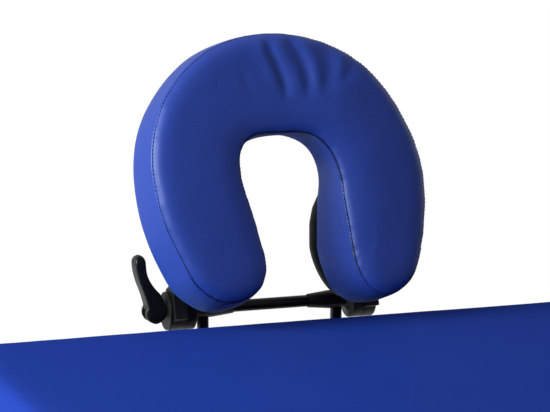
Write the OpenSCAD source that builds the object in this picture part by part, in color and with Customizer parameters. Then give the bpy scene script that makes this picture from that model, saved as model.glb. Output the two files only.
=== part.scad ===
// Folding massage table in two halves, with a tilting face rest on the head end.
// X runs across the table, Y along it with the head end at +Y, Z up from the floor.
// Each half is drawn by its own distance u from the fold line, and the foot half is the mirror image.

/* [Table] */
// Width of the padded top
table_w = 680; // [620:5:760]
// Length of one padded half
half_len = 930; // [900:5:960]
// Height of the padded top above the floor, with the legs as set at rest
table_h = 700; // [690:5:720]
// Thickness of the padding with its cover
pad_t = 50; // [40:1:60]
// Radius of the pad's outer corners, seen from above
pad_corner_r = 45; // [30:1:70]
// Gap between the two pads at the fold line
pad_split = 2; // [1.5:0.5:4]
// Thickness of the plywood deck under the pad
deck_t = 6; // [5:1:9]
// How far the pad stands out past the wooden frame
pad_overhang = 12; // [11:0.5:16]

/* [Frame] */
// Height of the beech rails
rail_h = 70; // [66:1:76]
// Thickness of the beech rails
rail_t = 18; // [16:1:20]
// Radius on the long edges of the rails
rail_edge_r = 3; // [2:0.5:5]
// Depth of the block behind each end rail that holds the face rest's pegs
socket_depth = 40; // [30:1:42]
// Wood left beside and between the peg holes in the socket block
socket_wall = 20; // [14:1:26]

/* [Fold] */
// Height of the rails' underside above the fold axis
fold_drop = 5; // [5:0.5:7]
// Outer radius of the hinge knuckles
knuckle_r = 4; // [3.5:0.1:4]
// Radius of the hinge pins
hinge_pin_r = 2.5; // [2:0.1:2.8]
// Length of each hinge
hinge_len = 60; // [50:1:80]
// Thickness of the hinge leaves
hinge_leaf_t = 2; // [1.5:0.1:2.5]
// Distance of each hinge from the rails' outer face
hinge_inset = 113; // [88:5:178]

/* [Legs] */
// Width of a leg, seen from the side of the table
leg_w = 42; // [36:1:44]
// Thickness of each half of a leg
leg_t = 22; // [18:1:23]
// Outward splay of the legs in degrees
leg_splay = 4; // [3:0.5:4.5]
// Distance of the leg's pivot from the outer face of the end rail
leg_setback = 60; // [56:1:66]
// Height of the leg's pivot above the rails' underside
leg_pivot_rise = 33; // [30:1:36]
// Distance of the upper leg's end from the floor, along the leg
leg_end_rise = 168.5; // [164:0.5:200]
// Wood left above the slot in the lower leg
leg_slot_wall = 26; // [20:1:40]
// Travel of the lower leg that shortens the leg
leg_travel_up = 60; // [40:5:70]
// Travel of the lower leg that lengthens the leg
leg_travel_down = 140; // [100:5:145]
// Distance of the locking knob above the end of the upper leg
knob_from_end = 30; // [26:1:40]
// Distance between the two bolts through a leg
leg_bolt_pitch = 80; // [60:1:90]
// Radius of the bolts through the legs
leg_bolt_r = 4; // [3:0.5:4]
// Radius of the star knobs
knob_r = 16; // [13:0.5:17]
// Height of the rubber feet
foot_h = 12; // [8:1:16]
// Height of the stretcher board between two legs
stretcher_h = 60; // [50:1:70]
// Thickness of the stretcher board
stretcher_t = 13.5; // [10:0.5:13.5]

/* [Stays] */
// Distance along the leg from its pivot to the stay's joint
stay_leg_r = 260; // [255:1:270]
// Distance of the stay's frame bracket from the leg's pivot
stay_frame_gap = 258; // [252:1:264]
// Width of the stay's steel links
link_w = 16; // [12:1:16]
// Thickness of the stay's steel links
link_t = 4; // [3:0.5:5]
// Radius of the stay's pins
stay_pin_r = 3; // [2:0.5:3]

/* [Face rest] */
// Tilt of the face rest from level, in degrees
rest_tilt = 73; // [66:1:76]
// Distance of the face rest's pivot beyond the end of the pad
pivot_gap = 35; // [30:1:50]
// Height of the face rest's pivot above the padded top
pivot_rise = 10; // [6:1:20]
// Radius of the horseshoe's middle line
ring_r = 97.5; // [92:0.5:102]
// Half of the cushion's width across its band
band_half = 49.5; // [46:0.5:52]
// Inward lean of the horseshoe's arms, in degrees
toe_in = 14; // [8:1:16]
// Length of the straight stretch of each arm
arm_len = 56.5; // [50:0.5:66]
// Distance along the cushion from the pivot to the horseshoe's centre
ring_up = 118; // [112:1:128]
// Thickness of the cushion at its crown
cushion_t = 68; // [58:1:74]
// Thickness of the backing board
board_t = 12; // [9:1:14]
// Height of the backing board's rear face above the pivot
board_rise = 25; // [24:1:30]
// How far the cushion stands out past the backing board
board_inset = 4; // [3:0.5:8]
// Distance of each peg from the middle of the table
peg_x = 73; // [70:1:76]
// Radius of the pegs that push into the end rail
peg_r = 10; // [8:0.5:11]
// Length of each peg behind the pivot
peg_len = 165; // [130:1:175]
// Radius of the posts and of the crossbar
post_r = 6; // [5.5:0.1:6.5]
// Radius of the clamping rod through the crossbar
clamp_rod_r = 4; // [3:0.1:4.2]
// Radius of the clutches at the ends of the crossbar
clutch_r = 20; // [17:0.5:20]
// Distance from the middle of the table to the split in each clutch
clutch_split_x = 97; // [96:0.5:100]
// Thickness of each half of a clutch
clutch_half_t = 13; // [11:0.5:14]
// Length of the cam lever from its pin to its tip
lever_len = 58; // [45:1:70]
// Radius of the cam lever's head
lever_head_r = 11; // [10:0.5:12]
// Width of the cam lever
lever_w = 18; // [15:0.5:20]

/* [Fittings] */
// Distance of each closing hook from the rails' outer face
hook_inset = 113; // [88:5:148]
// Distance from the hook's screw to the stud that it catches
hook_reach = 42; // [40:1:50]
// Length of the carrying handle
handle_len = 220; // [180:5:260]
// Width of the carrying handle's webbing
handle_w = 30; // [25:1:38]

/* [Hidden] */

// Finishes
BLUE = [0.10, 0.16, 0.52];
BEECH = [0.82, 0.63, 0.42];
PLY = [0.72, 0.55, 0.36];
STEEL = [0.68, 0.69, 0.70];
BLACK = [0.06, 0.06, 0.065];
RUBBER = [0.09, 0.09, 0.09];

// The two halves of the table, and the two sides of each
HEAD = 1;
FOOT = -1;
LEFT = -1;
RIGHT = 1;

// Facet counts: true circles, hulls, and the soft forms' corners, arcs and ends
ROUND = 64;
CORNER_STEPS = 6;
ARC_STEPS = 30;
END_STEPS = 10;

// Clearances
run_gap = 0.08;
side_gap = 0.3;
slot_gap = 0.3;
butt_gap = 1;
lap_gap = 0.5;
overrun = 1;

// Levels and places of the frame
rail_top = table_h - pad_t - deck_t;
rail_bottom = rail_top - rail_h;
fold_z = rail_bottom - fold_drop;
frame_half_w = table_w / 2 - pad_overhang;
rail_in_x = frame_half_w - rail_t;
frame_end_u = half_len - pad_overhang;
end_rail_u = frame_end_u - rail_t;
frame_start_u = butt_gap / 2;
hinge_x = frame_half_w - hinge_inset;
hook_x = frame_half_w - hook_inset;

// Places of the face rest, in the half's own coordinates
pivot_u = half_len + pivot_gap;
pivot_z = table_h + pivot_rise;
peg_z = rail_bottom + rail_h / 2;
board_half = band_half - board_inset;
cushion_rise = board_rise + board_t;
far_u = pivot_u + (ring_up + ring_r + board_half) * cos(rest_tilt) - board_rise * sin(rest_tilt);
fold_y = (half_len - far_u) / 2;

// Places of the legs. A leg's own r runs down from its pivot
leg_pivot_u = frame_end_u - leg_setback;
leg_pivot_z = rail_bottom + leg_pivot_rise;
leg_len = leg_pivot_z / cos(leg_splay);
leg_upper_len = leg_len - leg_end_rise;
leg_nut_t = 6.7;
leg_nut_r = 7;
bolt_head_r = 9;
bolt_head_t = 3;
bolt_washer_t = 3.5;
knob_bolt_r = leg_upper_len - knob_from_end;
top_bolt_r = knob_bolt_r - leg_bolt_pitch;
slot_half = leg_bolt_r + slot_gap;
slot_top_r = top_bolt_r - slot_half - leg_travel_down;
slot_end_r = knob_bolt_r + slot_half + leg_travel_up;
lower_leg_top_r = slot_top_r - leg_slot_wall;
lower_leg_half = leg_w / 2 - lap_gap;
spacer_wall = 5;
knob_t = 15;
knob_hub_r = 9;
knob_hub_t = 4;
knob_lobes = 5;
knob_lobe_share = 0.36;
// The head end's upper legs stand next to the rails, with the lower legs inside them.
// The foot end's lower legs stand outside, so that the two pairs pass each other as the case folds.
head_leg_gap = 6;
head_leg_out_x = rail_in_x - head_leg_gap;
head_leg_in_x = head_leg_out_x - leg_t;
foot_leg_out_x = head_leg_in_x;
foot_leg_in_x = foot_leg_out_x - leg_t;

// The stretcher lies against the legs' outer edge, just above the stay's joint
stretcher_ear_gap = 20;
stretcher_r = stay_leg_r - stretcher_ear_gap - stretcher_h;

// The stay: two links, straight when the leg is open and doubled back towards the fold when it is
// folded. Its knee is level with the frame bracket then
stay_drop = 22;
stay_c = [leg_pivot_u - stay_frame_gap, rail_top - stay_drop];
stay_b = leg_point(stay_leg_r);
stay_b_folded = [leg_pivot_u - stay_leg_r, leg_pivot_z];
stay_reach = norm(stay_b - stay_c);
stay_shift = stay_b_folded - stay_c;
stay_upper_len = (stay_reach * stay_reach - stay_shift * stay_shift) / (2 * (stay_reach + stay_shift[0]));
stay_k = stay_c + (stay_b - stay_c) * stay_upper_len / stay_reach;
stay_plate_t = 3;
stay_head_r = 5.5;
stay_head_t = 2;
stay_base_w = 30;
stay_base_t = 2;
stay_foot_w = 28;
stay_web_h = 22;
stay_upper_x = 0;
stay_lower_x = stay_upper_x + link_t + side_gap;
stay_ear_x = stay_lower_x + link_t + side_gap;

// Face rest hardware, measured from the middle of the table along its pivot
tee_hub_r = 9.5;
tee_hub_half = 8;
tee_cone_len = 24;
tee_cone_r = 7;
tee_neck_r = 12;
tube_end_x = clutch_split_x - clutch_half_t;
clutch_out_x = clutch_split_x + side_gap + clutch_half_t;
nut_pocket_r = 8;
nut_pocket_t = 6.5;
rod_head_r = 7.5;
rod_head_t = 5;
disc_t = 3;
disc_r = clutch_r - lap_gap;
disc_out_x = clutch_out_x + disc_t;
lever_pin_x = disc_out_x + side_gap + lever_head_r;
lever_pin_r = 2.5;
rod_end_past_pin = 5;
lever_slot_half = clamp_rod_r + lap_gap;
lever_slot_back = 7;
hinge_arm_low = 12;
hinge_arm_high = 34;
hinge_flange_w = 36;
hinge_flange_len = 56;
hinge_flange_low = 6;
hinge_flange_t = 3;
// Outline of the cam lever: side and height as shares of its length, from the pin
lever_shares = [
    [0.12, 0.21], [0.04, 0.29], [-0.06, 0.37], [-0.16, 0.53], [-0.24, 0.70], [-0.285, 0.87],
    [-0.33, 0.965], [-0.37, 1.0], [-0.415, 0.985], [-0.44, 0.93], [-0.43, 0.86], [-0.375, 0.64],
    [-0.28, 0.36], [-0.155, 0.08], [-0.15, -0.12], [0, -0.1], [0.1, 0]
];

// Hinges
leaf_gap = 4.5;
leaf_reach = rail_t;
knuckle_count = 3;
screw_head_r = 4;
screw_head_t = 1.6;
leaf_screw_r = 3;
leaf_screw_t = 1;

// Closing hooks and their screws and studs
hook_t = 2;
hook_half = 7;
hook_rise = 16;
hook_lift = 1;
stud_r = 3;
stud_gap = 0.6;
stud_head_r = 5.5;
stud_head_t = 2;

// Handles
handle_t = 3;
handle_pad_len = 34;
handle_ramp_len = 22;
handle_finger_gap = 6.4;
handle_u = 470;

// Profiles of the soft forms, from the bottom edge to the crown.
// The pad's rows are inset and height as shares of its thickness
pad_profile_shares = [
    [0.16, 0], [0.05, 0.07], [0.01, 0.26], [0, 0.50], [0.03, 0.72], [0.11, 0.87],
    [0.30, 0.955], [0.9, 0.985], [3.0, 0.998], [5.4, 1]
];
// The cushion's rows are half width as a share of the band's, and height as a share of its thickness
cushion_profile_shares = [
    [0.93, 0], [0.98, 0.06], [1.0, 0.26], [0.995, 0.52], [0.965, 0.75], [0.90, 0.87],
    [0.75, 0.945], [0.45, 0.992], [0.12, 1]
];

// Geometry helpers

// A point of the leg's middle line, as u and z, at distance r down the leg
function leg_point(r) = [leg_pivot_u + r * sin(leg_splay), leg_pivot_z - r * cos(leg_splay)];

// Places its children in one half of the table, where Y is the distance u from the fold line
module in_half(half) {
    translate([0, fold_y, 0])
        if (half == HEAD) children();
        else mirror([0, 1, 0]) children();
}

// Places its children on a leg frame, with -Z down the leg from its pivot and -Y towards the fold line
module on_legs(half) {
    in_half(half) translate([0, leg_pivot_u, leg_pivot_z]) rotate([leg_splay, 0, 0]) children();
}

// Places its children on the face rest, with Y up along the cushion and Z out of its face
module on_rest() {
    translate([0, fold_y + pivot_u, pivot_z]) rotate([rest_tilt, 0, 0]) children();
}

// A cylinder along X from x to x + len
module rod_x(x, len, r) {
    translate([x, 0, 0]) rotate([0, 90, 0]) cylinder(h = len, r = r, $fn = ROUND);
}

// A cylinder along Y from y to y + len
module rod_y(y, len, r) {
    translate([0, y, 0]) rotate([-90, 0, 0]) cylinder(h = len, r = r, $fn = ROUND);
}

// A cylinder along X that starts at x and runs outwards on the given side
module rod_out(side, x, len, r) {
    rod_x(side > 0 ? x : -x - len, len, r);
}

// A hexagonal nut or bolt head along X that starts at x and runs outwards on the given side
module hex_out(side, x, len, r) {
    translate([side > 0 ? x : -x - len, 0, 0]) rotate([0, 90, 0]) cylinder(h = len, r = r, $fn = 6);
}

// A flat rectangle with true round corners, centred
module round_rect(w, h, r) {
    square([w - 2 * r, h], center = true);
    square([w, h - 2 * r], center = true);
    for (sx = [-1, 1], sy = [-1, 1])
        translate([sx * (w / 2 - r), sy * (h / 2 - r)]) circle(r = r, $fn = ROUND);
}

// A box from x to x + dx on the given side, with u and z ranges
module side_box(side, x, dx, u, du, z, dz) {
    translate([side > 0 ? x : -x - dx, u, z]) cube([dx, du, dz]);
}

// A flat link in the plane of u and z, between two points, with round ends
module link_bar(p, q, x, t, w) {
    d = q - p;
    translate([x, p[0], p[1]]) rotate([atan2(d[1], d[0]), 0, 0]) {
        translate([0, 0, -w / 2]) cube([t, norm(d), w]);
        rod_x(0, t, w / 2);
        translate([0, norm(d), 0]) rod_x(0, t, w / 2);
    }
}

// A cylinder along X through a point given as u and z
module pin_at(p, x, len, r) {
    translate([0, p[0], p[1]]) rod_x(x, len, r);
}

// Triangles between stacked rings of points
function wall_faces(rings, count) = [
    for (k = [0:rings - 2], i = [0:count - 1])
        let (a = k * count + i, b = k * count + (i + 1) % count)
            each [[a, b + count, b], [a, a + count, b + count]]
];

// Pads

// Corner points of the pad's outline at one inset, counter-clockwise from above
function pad_corner(cx, cy, r, start) = [
    for (k = [0:CORNER_STEPS])
        let (a = start + 90 * k / CORNER_STEPS) [cx + r * cos(a), cy + r * sin(a)]
];

function pad_ring(inset, z) =
    let (
        w = table_w / 2 - inset,
        near = pad_split / 2 + inset,
        far = half_len - inset,
        outer = max(pad_corner_r - inset, pad_corner_r * 0.2),
        inner = min(outer, pad_corner_r * 0.2)
    )
    [for (p = concat(
        pad_corner(w - inner, near + inner, inner, -90),
        pad_corner(w - outer, far - outer, outer, 0),
        pad_corner(-w + outer, far - outer, outer, 90),
        pad_corner(-w + inner, near + inner, inner, 180)
    )) [p[0], p[1], z]];

module pad(half) {
    rows = len(pad_profile_shares);
    count = 4 * (CORNER_STEPS + 1);
    middle = [0, half_len / 2];
    points = concat(
        [for (s = pad_profile_shares) each pad_ring(s[0] * pad_t, s[1] * pad_t)],
        [[middle[0], middle[1], 0], [middle[0], middle[1], pad_t]]
    );
    low = rows * count;
    top = (rows - 1) * count;
    faces = concat(
        wall_faces(rows, count),
        [for (i = [0:count - 1]) [low, i, (i + 1) % count]],
        [for (i = [0:count - 1]) [low + 1, top + (i + 1) % count, top + i]]
    );
    color(BLUE) in_half(half) translate([0, 0, table_h - pad_t]) polyhedron(points, faces, convexity = 4);
}

// Frame

module deck(half) {
    color(PLY) in_half(half)
        translate([-frame_half_w, frame_start_u, rail_top])
            cube([2 * frame_half_w, frame_end_u - frame_start_u, deck_t]);
}

module side_rail(half, side) {
    length = frame_end_u - frame_start_u;
    color(BEECH) in_half(half) difference() {
        translate([side * (rail_in_x + rail_t / 2), frame_start_u + length, rail_bottom + rail_h / 2])
            rotate([90, 0, 0]) linear_extrude(length) round_rect(rail_t, rail_h, rail_edge_r);
        translate([0, leg_pivot_u, leg_pivot_z])
            rod_out(side, rail_in_x - overrun, rail_t + 2 * overrun, leg_bolt_r + run_gap);
    }
}

module cross_rail(u) {
    translate([-rail_in_x, u + rail_t / 2, rail_bottom + rail_h / 2])
        rotate([90, 0, 90]) linear_extrude(2 * rail_in_x) round_rect(rail_t, rail_h, rail_edge_r);
}

module peg_holes(u, len) {
    for (side = [LEFT, RIGHT])
        translate([side * peg_x, 0, peg_z]) rod_y(u, len, peg_r + run_gap);
}

module end_rail(half) {
    color(BEECH) in_half(half) difference() {
        cross_rail(end_rail_u);
        peg_holes(end_rail_u - overrun, rail_t + 2 * overrun);
    }
}

module centre_rail(half) {
    color(BEECH) in_half(half) cross_rail(frame_start_u);
}

module socket_block(half) {
    w = 2 * (peg_x + peg_r + socket_wall);
    h = rail_h - 2 * rail_edge_r;
    color(BEECH) in_half(half) difference() {
        translate([-w / 2, end_rail_u - socket_depth, rail_bottom + rail_edge_r]) cube([w, socket_depth, h]);
        peg_holes(end_rail_u - socket_depth - overrun, socket_depth + 2 * overrun);
    }
}

// Hinges between the halves

module knuckle(x, len) {
    rod_x(x, len, knuckle_r);
    translate([x, 0, 0]) cube([len, leaf_gap, fold_drop]);
}

// One leaf of each hinge, with knuckles in every second place from the first one given
module hinge_leaves(half, first) {
    step = hinge_len / knuckle_count;
    color(STEEL) in_half(half) for (side = [LEFT, RIGHT])
        translate([side * hinge_x - hinge_len / 2, 0, fold_z]) difference() {
            union() {
                translate([0, leaf_gap, fold_drop - hinge_leaf_t])
                    cube([hinge_len, leaf_reach - leaf_gap, hinge_leaf_t]);
                for (k = [first:2:knuckle_count - 1])
                    knuckle(k * step + side_gap / 2, step - side_gap);
            }
            rod_x(-overrun, hinge_len + 2 * overrun, hinge_pin_r + run_gap);
        }
}

module hinge_pins() {
    color(STEEL) translate([0, fold_y, fold_z]) for (side = [LEFT, RIGHT])
        rod_x(side * hinge_x - hinge_len / 2, hinge_len, hinge_pin_r);
}

module leaf_screws() {
    for (side = [LEFT, RIGHT], k = [-1, 1])
        translate([side * hinge_x + k * hinge_len / 3, (leaf_gap + leaf_reach) / 2,
                   rail_bottom - hinge_leaf_t - leaf_screw_t])
            cylinder(h = leaf_screw_t, r = leaf_screw_r, $fn = ROUND);
}

// Carrying handle of webbing on the right side rail

module handle(half) {
    z = rail_bottom + (rail_h - handle_w) / 2;
    x = frame_half_w;
    ramp = handle_pad_len + handle_ramp_len;
    color(BLACK) in_half(half) translate([x, handle_u - handle_len / 2, z]) linear_extrude(handle_w)
        polygon([
            [0, 0], [handle_t, 0], [handle_t, handle_pad_len],
            [handle_finger_gap + handle_t, ramp], [handle_finger_gap + handle_t, handle_len - ramp],
            [handle_t, handle_len - handle_pad_len], [handle_t, handle_len], [0, handle_len],
            [0, handle_len - handle_pad_len], [handle_finger_gap, handle_len - ramp],
            [handle_finger_gap, ramp], [0, handle_pad_len]
        ]);
}

module handle_screws() {
    for (end = [-1, 1], row = [-1, 1])
        translate([0, handle_u + end * (handle_len - handle_pad_len) / 2,
                   rail_bottom + rail_h / 2 + row * handle_w / 4])
            rod_out(RIGHT, frame_half_w + handle_t, screw_head_t, screw_head_r);
}

// Closing hooks: they lie along the foot end rail and swing down to studs on the head end rail

module hook_outline() {
    difference() {
        union() {
            circle(r = hook_half, $fn = ROUND);
            translate([0, -hook_half]) square([hook_reach + hook_half, 2 * hook_half]);
            translate([hook_reach + hook_half, 0]) circle(r = hook_half, $fn = ROUND);
        }
        circle(r = stud_r + run_gap, $fn = ROUND);
        translate([hook_reach, 0]) circle(r = stud_r + stud_gap, $fn = ROUND);
        translate([hook_reach - stud_r - stud_gap, -hook_half - overrun])
            square([2 * (stud_r + stud_gap), hook_half + overrun]);
    }
}

module hook(side) {
    color(STEEL) in_half(FOOT)
        translate([side * hook_x, frame_end_u + hook_lift, rail_bottom + hook_rise])
            mirror([side > 0 ? 1 : 0, 0, 0]) rotate([90, 0, 0])
                translate([0, 0, -hook_t]) linear_extrude(hook_t) hook_outline();
}

// Studs with flat heads on an end rail, for the hooks to turn on or to catch
module studs(height) {
    shank = hook_lift + hook_t + side_gap;
    for (side = [LEFT, RIGHT]) translate([side * hook_x, 0, rail_bottom + height]) {
        rod_y(frame_end_u, shank, stud_r);
        rod_y(frame_end_u + shank, stud_head_t, stud_head_r);
    }
}

// Screws, leg pivot bolts with their spacers and nuts, and studs of one half

module leg_pivot_bolts(out_x, in_x) {
    nut_x = in_x - side_gap - leg_nut_t;
    translate([0, leg_pivot_u, leg_pivot_z]) for (side = [LEFT, RIGHT]) {
        rod_out(side, nut_x, frame_half_w - nut_x, leg_bolt_r);
        rod_out(side, frame_half_w, bolt_washer_t, bolt_head_r);
        difference() {
            rod_out(side, out_x + side_gap, rail_in_x - out_x - side_gap, leg_bolt_r + spacer_wall);
            rod_out(side, out_x - overrun, rail_in_x - out_x + 2 * overrun, leg_bolt_r + run_gap);
        }
        hex_out(side, nut_x, leg_nut_t, leg_nut_r);
    }
}

module corner_screws() {
    for (side = [LEFT, RIGHT], u = [frame_start_u, end_rail_u], row = [-1, 1])
        translate([0, u + rail_t / 2, rail_bottom + rail_h / 2 + row * rail_h / 4])
            rod_out(side, frame_half_w, screw_head_t, screw_head_r);
}

module fasteners(half) {
    color(STEEL) in_half(half) {
        leg_pivot_bolts(half == HEAD ? head_leg_out_x : foot_leg_out_x,
                        half == HEAD ? head_leg_in_x : foot_leg_in_x);
        corner_screws();
        handle_screws();
        leaf_screws();
        studs(half == HEAD ? hook_reach - 2 * fold_drop - hook_rise : hook_rise);
    }
}

// Legs

function upper_leg_x(half) = half == HEAD ? head_leg_in_x : foot_leg_in_x;
function lower_leg_x(half) = half == HEAD ? head_leg_in_x - side_gap - leg_t : foot_leg_out_x + side_gap;

// The two bolts that clamp the lower leg, on either side
module at_leg_bolts() {
    for (r = [top_bolt_r, knob_bolt_r]) translate([0, 0, -r]) children();
}

module upper_leg(half, side) {
    x = upper_leg_x(half);
    color(BEECH) on_legs(half) difference() {
        union() {
            side_box(side, x, leg_t, -leg_w / 2, leg_w, -leg_upper_len, leg_upper_len);
            rod_out(side, x, leg_t, leg_w / 2);
        }
        rod_out(side, x - overrun, leg_t + 2 * overrun, leg_bolt_r + run_gap);
        at_leg_bolts() rod_out(side, x - overrun, leg_t + 2 * overrun, leg_bolt_r + run_gap);
    }
}

module lower_leg_box(side, x) {
    side_box(side, x, leg_t, -lower_leg_half, 2 * lower_leg_half, -leg_len - leg_w,
             leg_len + leg_w - lower_leg_top_r);
}

// Everything between two heights above the floor
module floor_slab(low, high) {
    translate([-table_w, -2 * half_len, low]) cube([2 * table_w, 4 * half_len, high - low]);
}

module lower_leg(half, side) {
    x = lower_leg_x(half);
    color(BEECH) difference() {
        on_legs(half) difference() {
            lower_leg_box(side, x);
            translate([0, 0, -slot_top_r]) rod_out(side, x - overrun, leg_t + 2 * overrun, slot_half);
            translate([0, 0, -slot_end_r]) rod_out(side, x - overrun, leg_t + 2 * overrun, slot_half);
            side_box(side, x - overrun, leg_t + 2 * overrun, -slot_half, 2 * slot_half, -slot_end_r,
                     slot_end_r - slot_top_r);
        }
        floor_slab(-2 * leg_w, foot_h);
    }
}

module rubber_foot(half, side) {
    color(RUBBER) intersection() {
        on_legs(half) lower_leg_box(side, lower_leg_x(half));
        floor_slab(0, foot_h);
    }
}

module stretcher(half) {
    w = upper_leg_x(half) + leg_t;
    color(BEECH) on_legs(half)
        translate([-w, leg_w / 2, -stretcher_r - stretcher_h])
            cube([2 * w, stretcher_t, stretcher_h]);
}

// Bolts through both halves of each leg, with a lock nut on the upper one
module leg_bolts(half) {
    out_x = max(upper_leg_x(half), lower_leg_x(half)) + leg_t;
    in_x = min(upper_leg_x(half), lower_leg_x(half)) - side_gap;
    head_x = out_x + (half == HEAD ? 0 : side_gap);
    color(STEEL) on_legs(half) for (side = [LEFT, RIGHT]) {
        at_leg_bolts() {
            rod_out(side, in_x - knob_t, head_x - in_x + knob_t, leg_bolt_r);
            rod_out(side, head_x, bolt_head_t, bolt_head_r);
        }
        translate([0, 0, -top_bolt_r]) hex_out(side, in_x - leg_nut_t, leg_nut_t, leg_nut_r);
    }
}

module knob(half, side) {
    inner_x = min(upper_leg_x(half), lower_leg_x(half)) - side_gap;
    face_x = inner_x - knob_hub_t;
    body_t = knob_t - knob_hub_t;
    lobe_r = knob_r * knob_lobe_share;
    color(BLACK) on_legs(half) translate([0, 0, -knob_bolt_r]) difference() {
        union() {
            rod_out(side, face_x, knob_hub_t, knob_hub_r);
            rod_out(side, face_x - body_t, body_t, knob_r - lobe_r);
            for (k = [0:knob_lobes - 1]) rotate([360 * k / knob_lobes, 0, 0])
                translate([0, knob_r - lobe_r, 0]) rod_out(side, face_x - body_t, body_t, lobe_r);
        }
        rod_out(side, face_x - body_t - overrun, knob_t + 2 * overrun, leg_bolt_r + run_gap);
    }
}

// Stays

module stay_bracket(half) {
    x = stay_upper_x - side_gap - stay_plate_t;
    color(STEEL) in_half(half) {
        difference() {
            union() {
                link_bar(stay_c, [stay_c[0], rail_top - link_w / 2], x, stay_plate_t, link_w);
                translate([x - stay_base_w, stay_c[0] - stay_foot_w / 2, rail_top - stay_base_t])
                    cube([stay_base_w + stay_plate_t, stay_foot_w, stay_base_t]);
            }
            pin_at(stay_c, x - overrun, stay_plate_t + 2 * overrun, stay_pin_r + run_gap);
        }
        pin_at(stay_c, x - stay_head_t, stay_head_t, stay_head_r);
        pin_at(stay_c, x, stay_plate_t + side_gap + link_t, stay_pin_r);
    }
}

module stay_upper(half) {
    pin_start = stay_upper_x - stay_head_t;
    pin_end = stay_lower_x + link_t + side_gap / 2;
    color(STEEL) in_half(half) {
        difference() {
            link_bar(stay_c, stay_k, stay_upper_x, link_t, link_w);
            pin_at(stay_c, stay_upper_x - overrun, link_t + 2 * overrun, stay_pin_r + run_gap);
        }
        pin_at(stay_k, pin_start, stay_head_t, stay_head_r);
        pin_at(stay_k, stay_upper_x, pin_end - stay_upper_x, stay_pin_r);
        pin_at(stay_k, pin_end, stay_head_t, stay_head_r);
    }
}

module stay_lower(half) {
    color(STEEL) in_half(half) difference() {
        link_bar(stay_k, stay_b, stay_lower_x, link_t, link_w);
        pin_at(stay_k, stay_lower_x - overrun, link_t + 2 * overrun, stay_pin_r + run_gap);
        pin_at(stay_b, stay_lower_x - overrun, link_t + 2 * overrun, stay_pin_r + run_gap);
    }
}

// Steel ear on the stretcher's inner face, which reaches to the middle of the leg for the stay's joint
module stay_ear(half) {
    near = leg_w / 2;
    mid = -stay_leg_r + stretcher_ear_gap + stay_foot_w;
    tip = link_w / 2 - overrun;
    color(STEEL) on_legs(half) {
        translate([stay_ear_x, 0, 0]) rotate([90, 0, 90]) linear_extrude(stay_plate_t)
            polygon([
                [near, mid + stay_web_h / 2], [near, mid - stay_web_h / 2], [tip, -stay_leg_r],
                [-tip, -stay_leg_r], [0, mid + stay_web_h / 2]
            ]);
        translate([stay_ear_x, near - stay_base_t, mid - stay_foot_w / 2])
            cube([stay_base_w, stay_base_t, stay_foot_w]);
        pin_at([0, -stay_leg_r], stay_ear_x, stay_plate_t, link_w / 2);
        pin_at([0, -stay_leg_r], stay_ear_x + overrun, stay_plate_t - overrun + stay_head_t, stay_head_r);
    }
}

// Face rest

// Its lower frame: two pegs, two posts and the tubular crossbar, welded together
module rest_frame_solid(grow) {
    for (side = [LEFT, RIGHT]) translate([side * peg_x, 0, 0]) {
        translate([0, 0, peg_z - pivot_z]) rod_y(-peg_len, peg_len + post_r, peg_r);
        translate([0, 0, peg_z - pivot_z]) cylinder(h = pivot_z - peg_z, r = post_r + grow, $fn = ROUND);
    }
    rod_x(-tube_end_x, 2 * tube_end_x, post_r + grow);
}

module at_pivot() {
    translate([0, fold_y + pivot_u, pivot_z]) children();
}

module rest_frame() {
    color(BLACK) at_pivot() difference() {
        rest_frame_solid(0);
        rod_x(-tube_end_x - overrun, 2 * (tube_end_x + overrun), clamp_rod_r + slot_gap);
    }
}

// A casting on each end of the crossbar, from its cone to the fixed half of the clutch
module rest_tees() {
    outline = [
        [0, peg_x - tee_hub_half - tee_cone_len], [tee_cone_r, peg_x - tee_hub_half - tee_cone_len],
        [tee_hub_r, peg_x - tee_hub_half], [tee_hub_r, peg_x + tee_hub_half],
        [tee_neck_r, tube_end_x - overrun], [clutch_r, tube_end_x + overrun],
        [clutch_r, clutch_split_x], [0, clutch_split_x]
    ];
    color(BLACK) at_pivot() difference() {
        for (side = [LEFT, RIGHT]) rotate([0, side * 90, 0])
            rotate_extrude($fn = ROUND) polygon(outline);
        rest_frame_solid(run_gap);
        rod_x(-clutch_split_x - overrun, 2 * (clutch_split_x + overrun), clamp_rod_r + run_gap);
    }
}

// The moving halves of the clutches, each with its arm and flange under the backing board
module rest_hinges() {
    x = clutch_split_x + side_gap;
    color(BLACK) on_rest() for (side = [LEFT, RIGHT]) difference() {
        union() {
            rod_out(side, x, clutch_half_t, clutch_r);
            side_box(side, x, clutch_half_t, -hinge_arm_low, hinge_arm_low + hinge_arm_high, 0, board_rise);
            side_box(side, x + clutch_half_t - hinge_flange_w, hinge_flange_w, hinge_flange_low,
                     hinge_flange_len, board_rise - hinge_flange_t, hinge_flange_t);
        }
        rod_out(side, x - overrun, clutch_half_t + 2 * overrun, clamp_rod_r + run_gap);
        if (side == RIGHT)
            rod_out(side, clutch_out_x - nut_pocket_t, nut_pocket_t + overrun, nut_pocket_r);
    }
}

module clamp_disc() {
    color(BLACK) at_pivot() difference() {
        rod_out(LEFT, clutch_out_x, disc_t, disc_r);
        rod_out(LEFT, clutch_out_x - overrun, disc_t + 2 * overrun, clamp_rod_r + run_gap);
    }
}

// The rod from the hexagonal head in the right clutch to the cam pin on the left
module clamp_rod() {
    head_x = clutch_out_x - nut_pocket_t;
    color(STEEL) at_pivot() difference() {
        union() {
            rod_x(-lever_pin_x - rod_end_past_pin, lever_pin_x + rod_end_past_pin + head_x, clamp_rod_r);
            hex_out(RIGHT, head_x, rod_head_t, rod_head_r);
        }
        translate([-lever_pin_x, 0, 0]) rod_y(-lever_w, 2 * lever_w, lever_pin_r + run_gap);
    }
}

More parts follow.
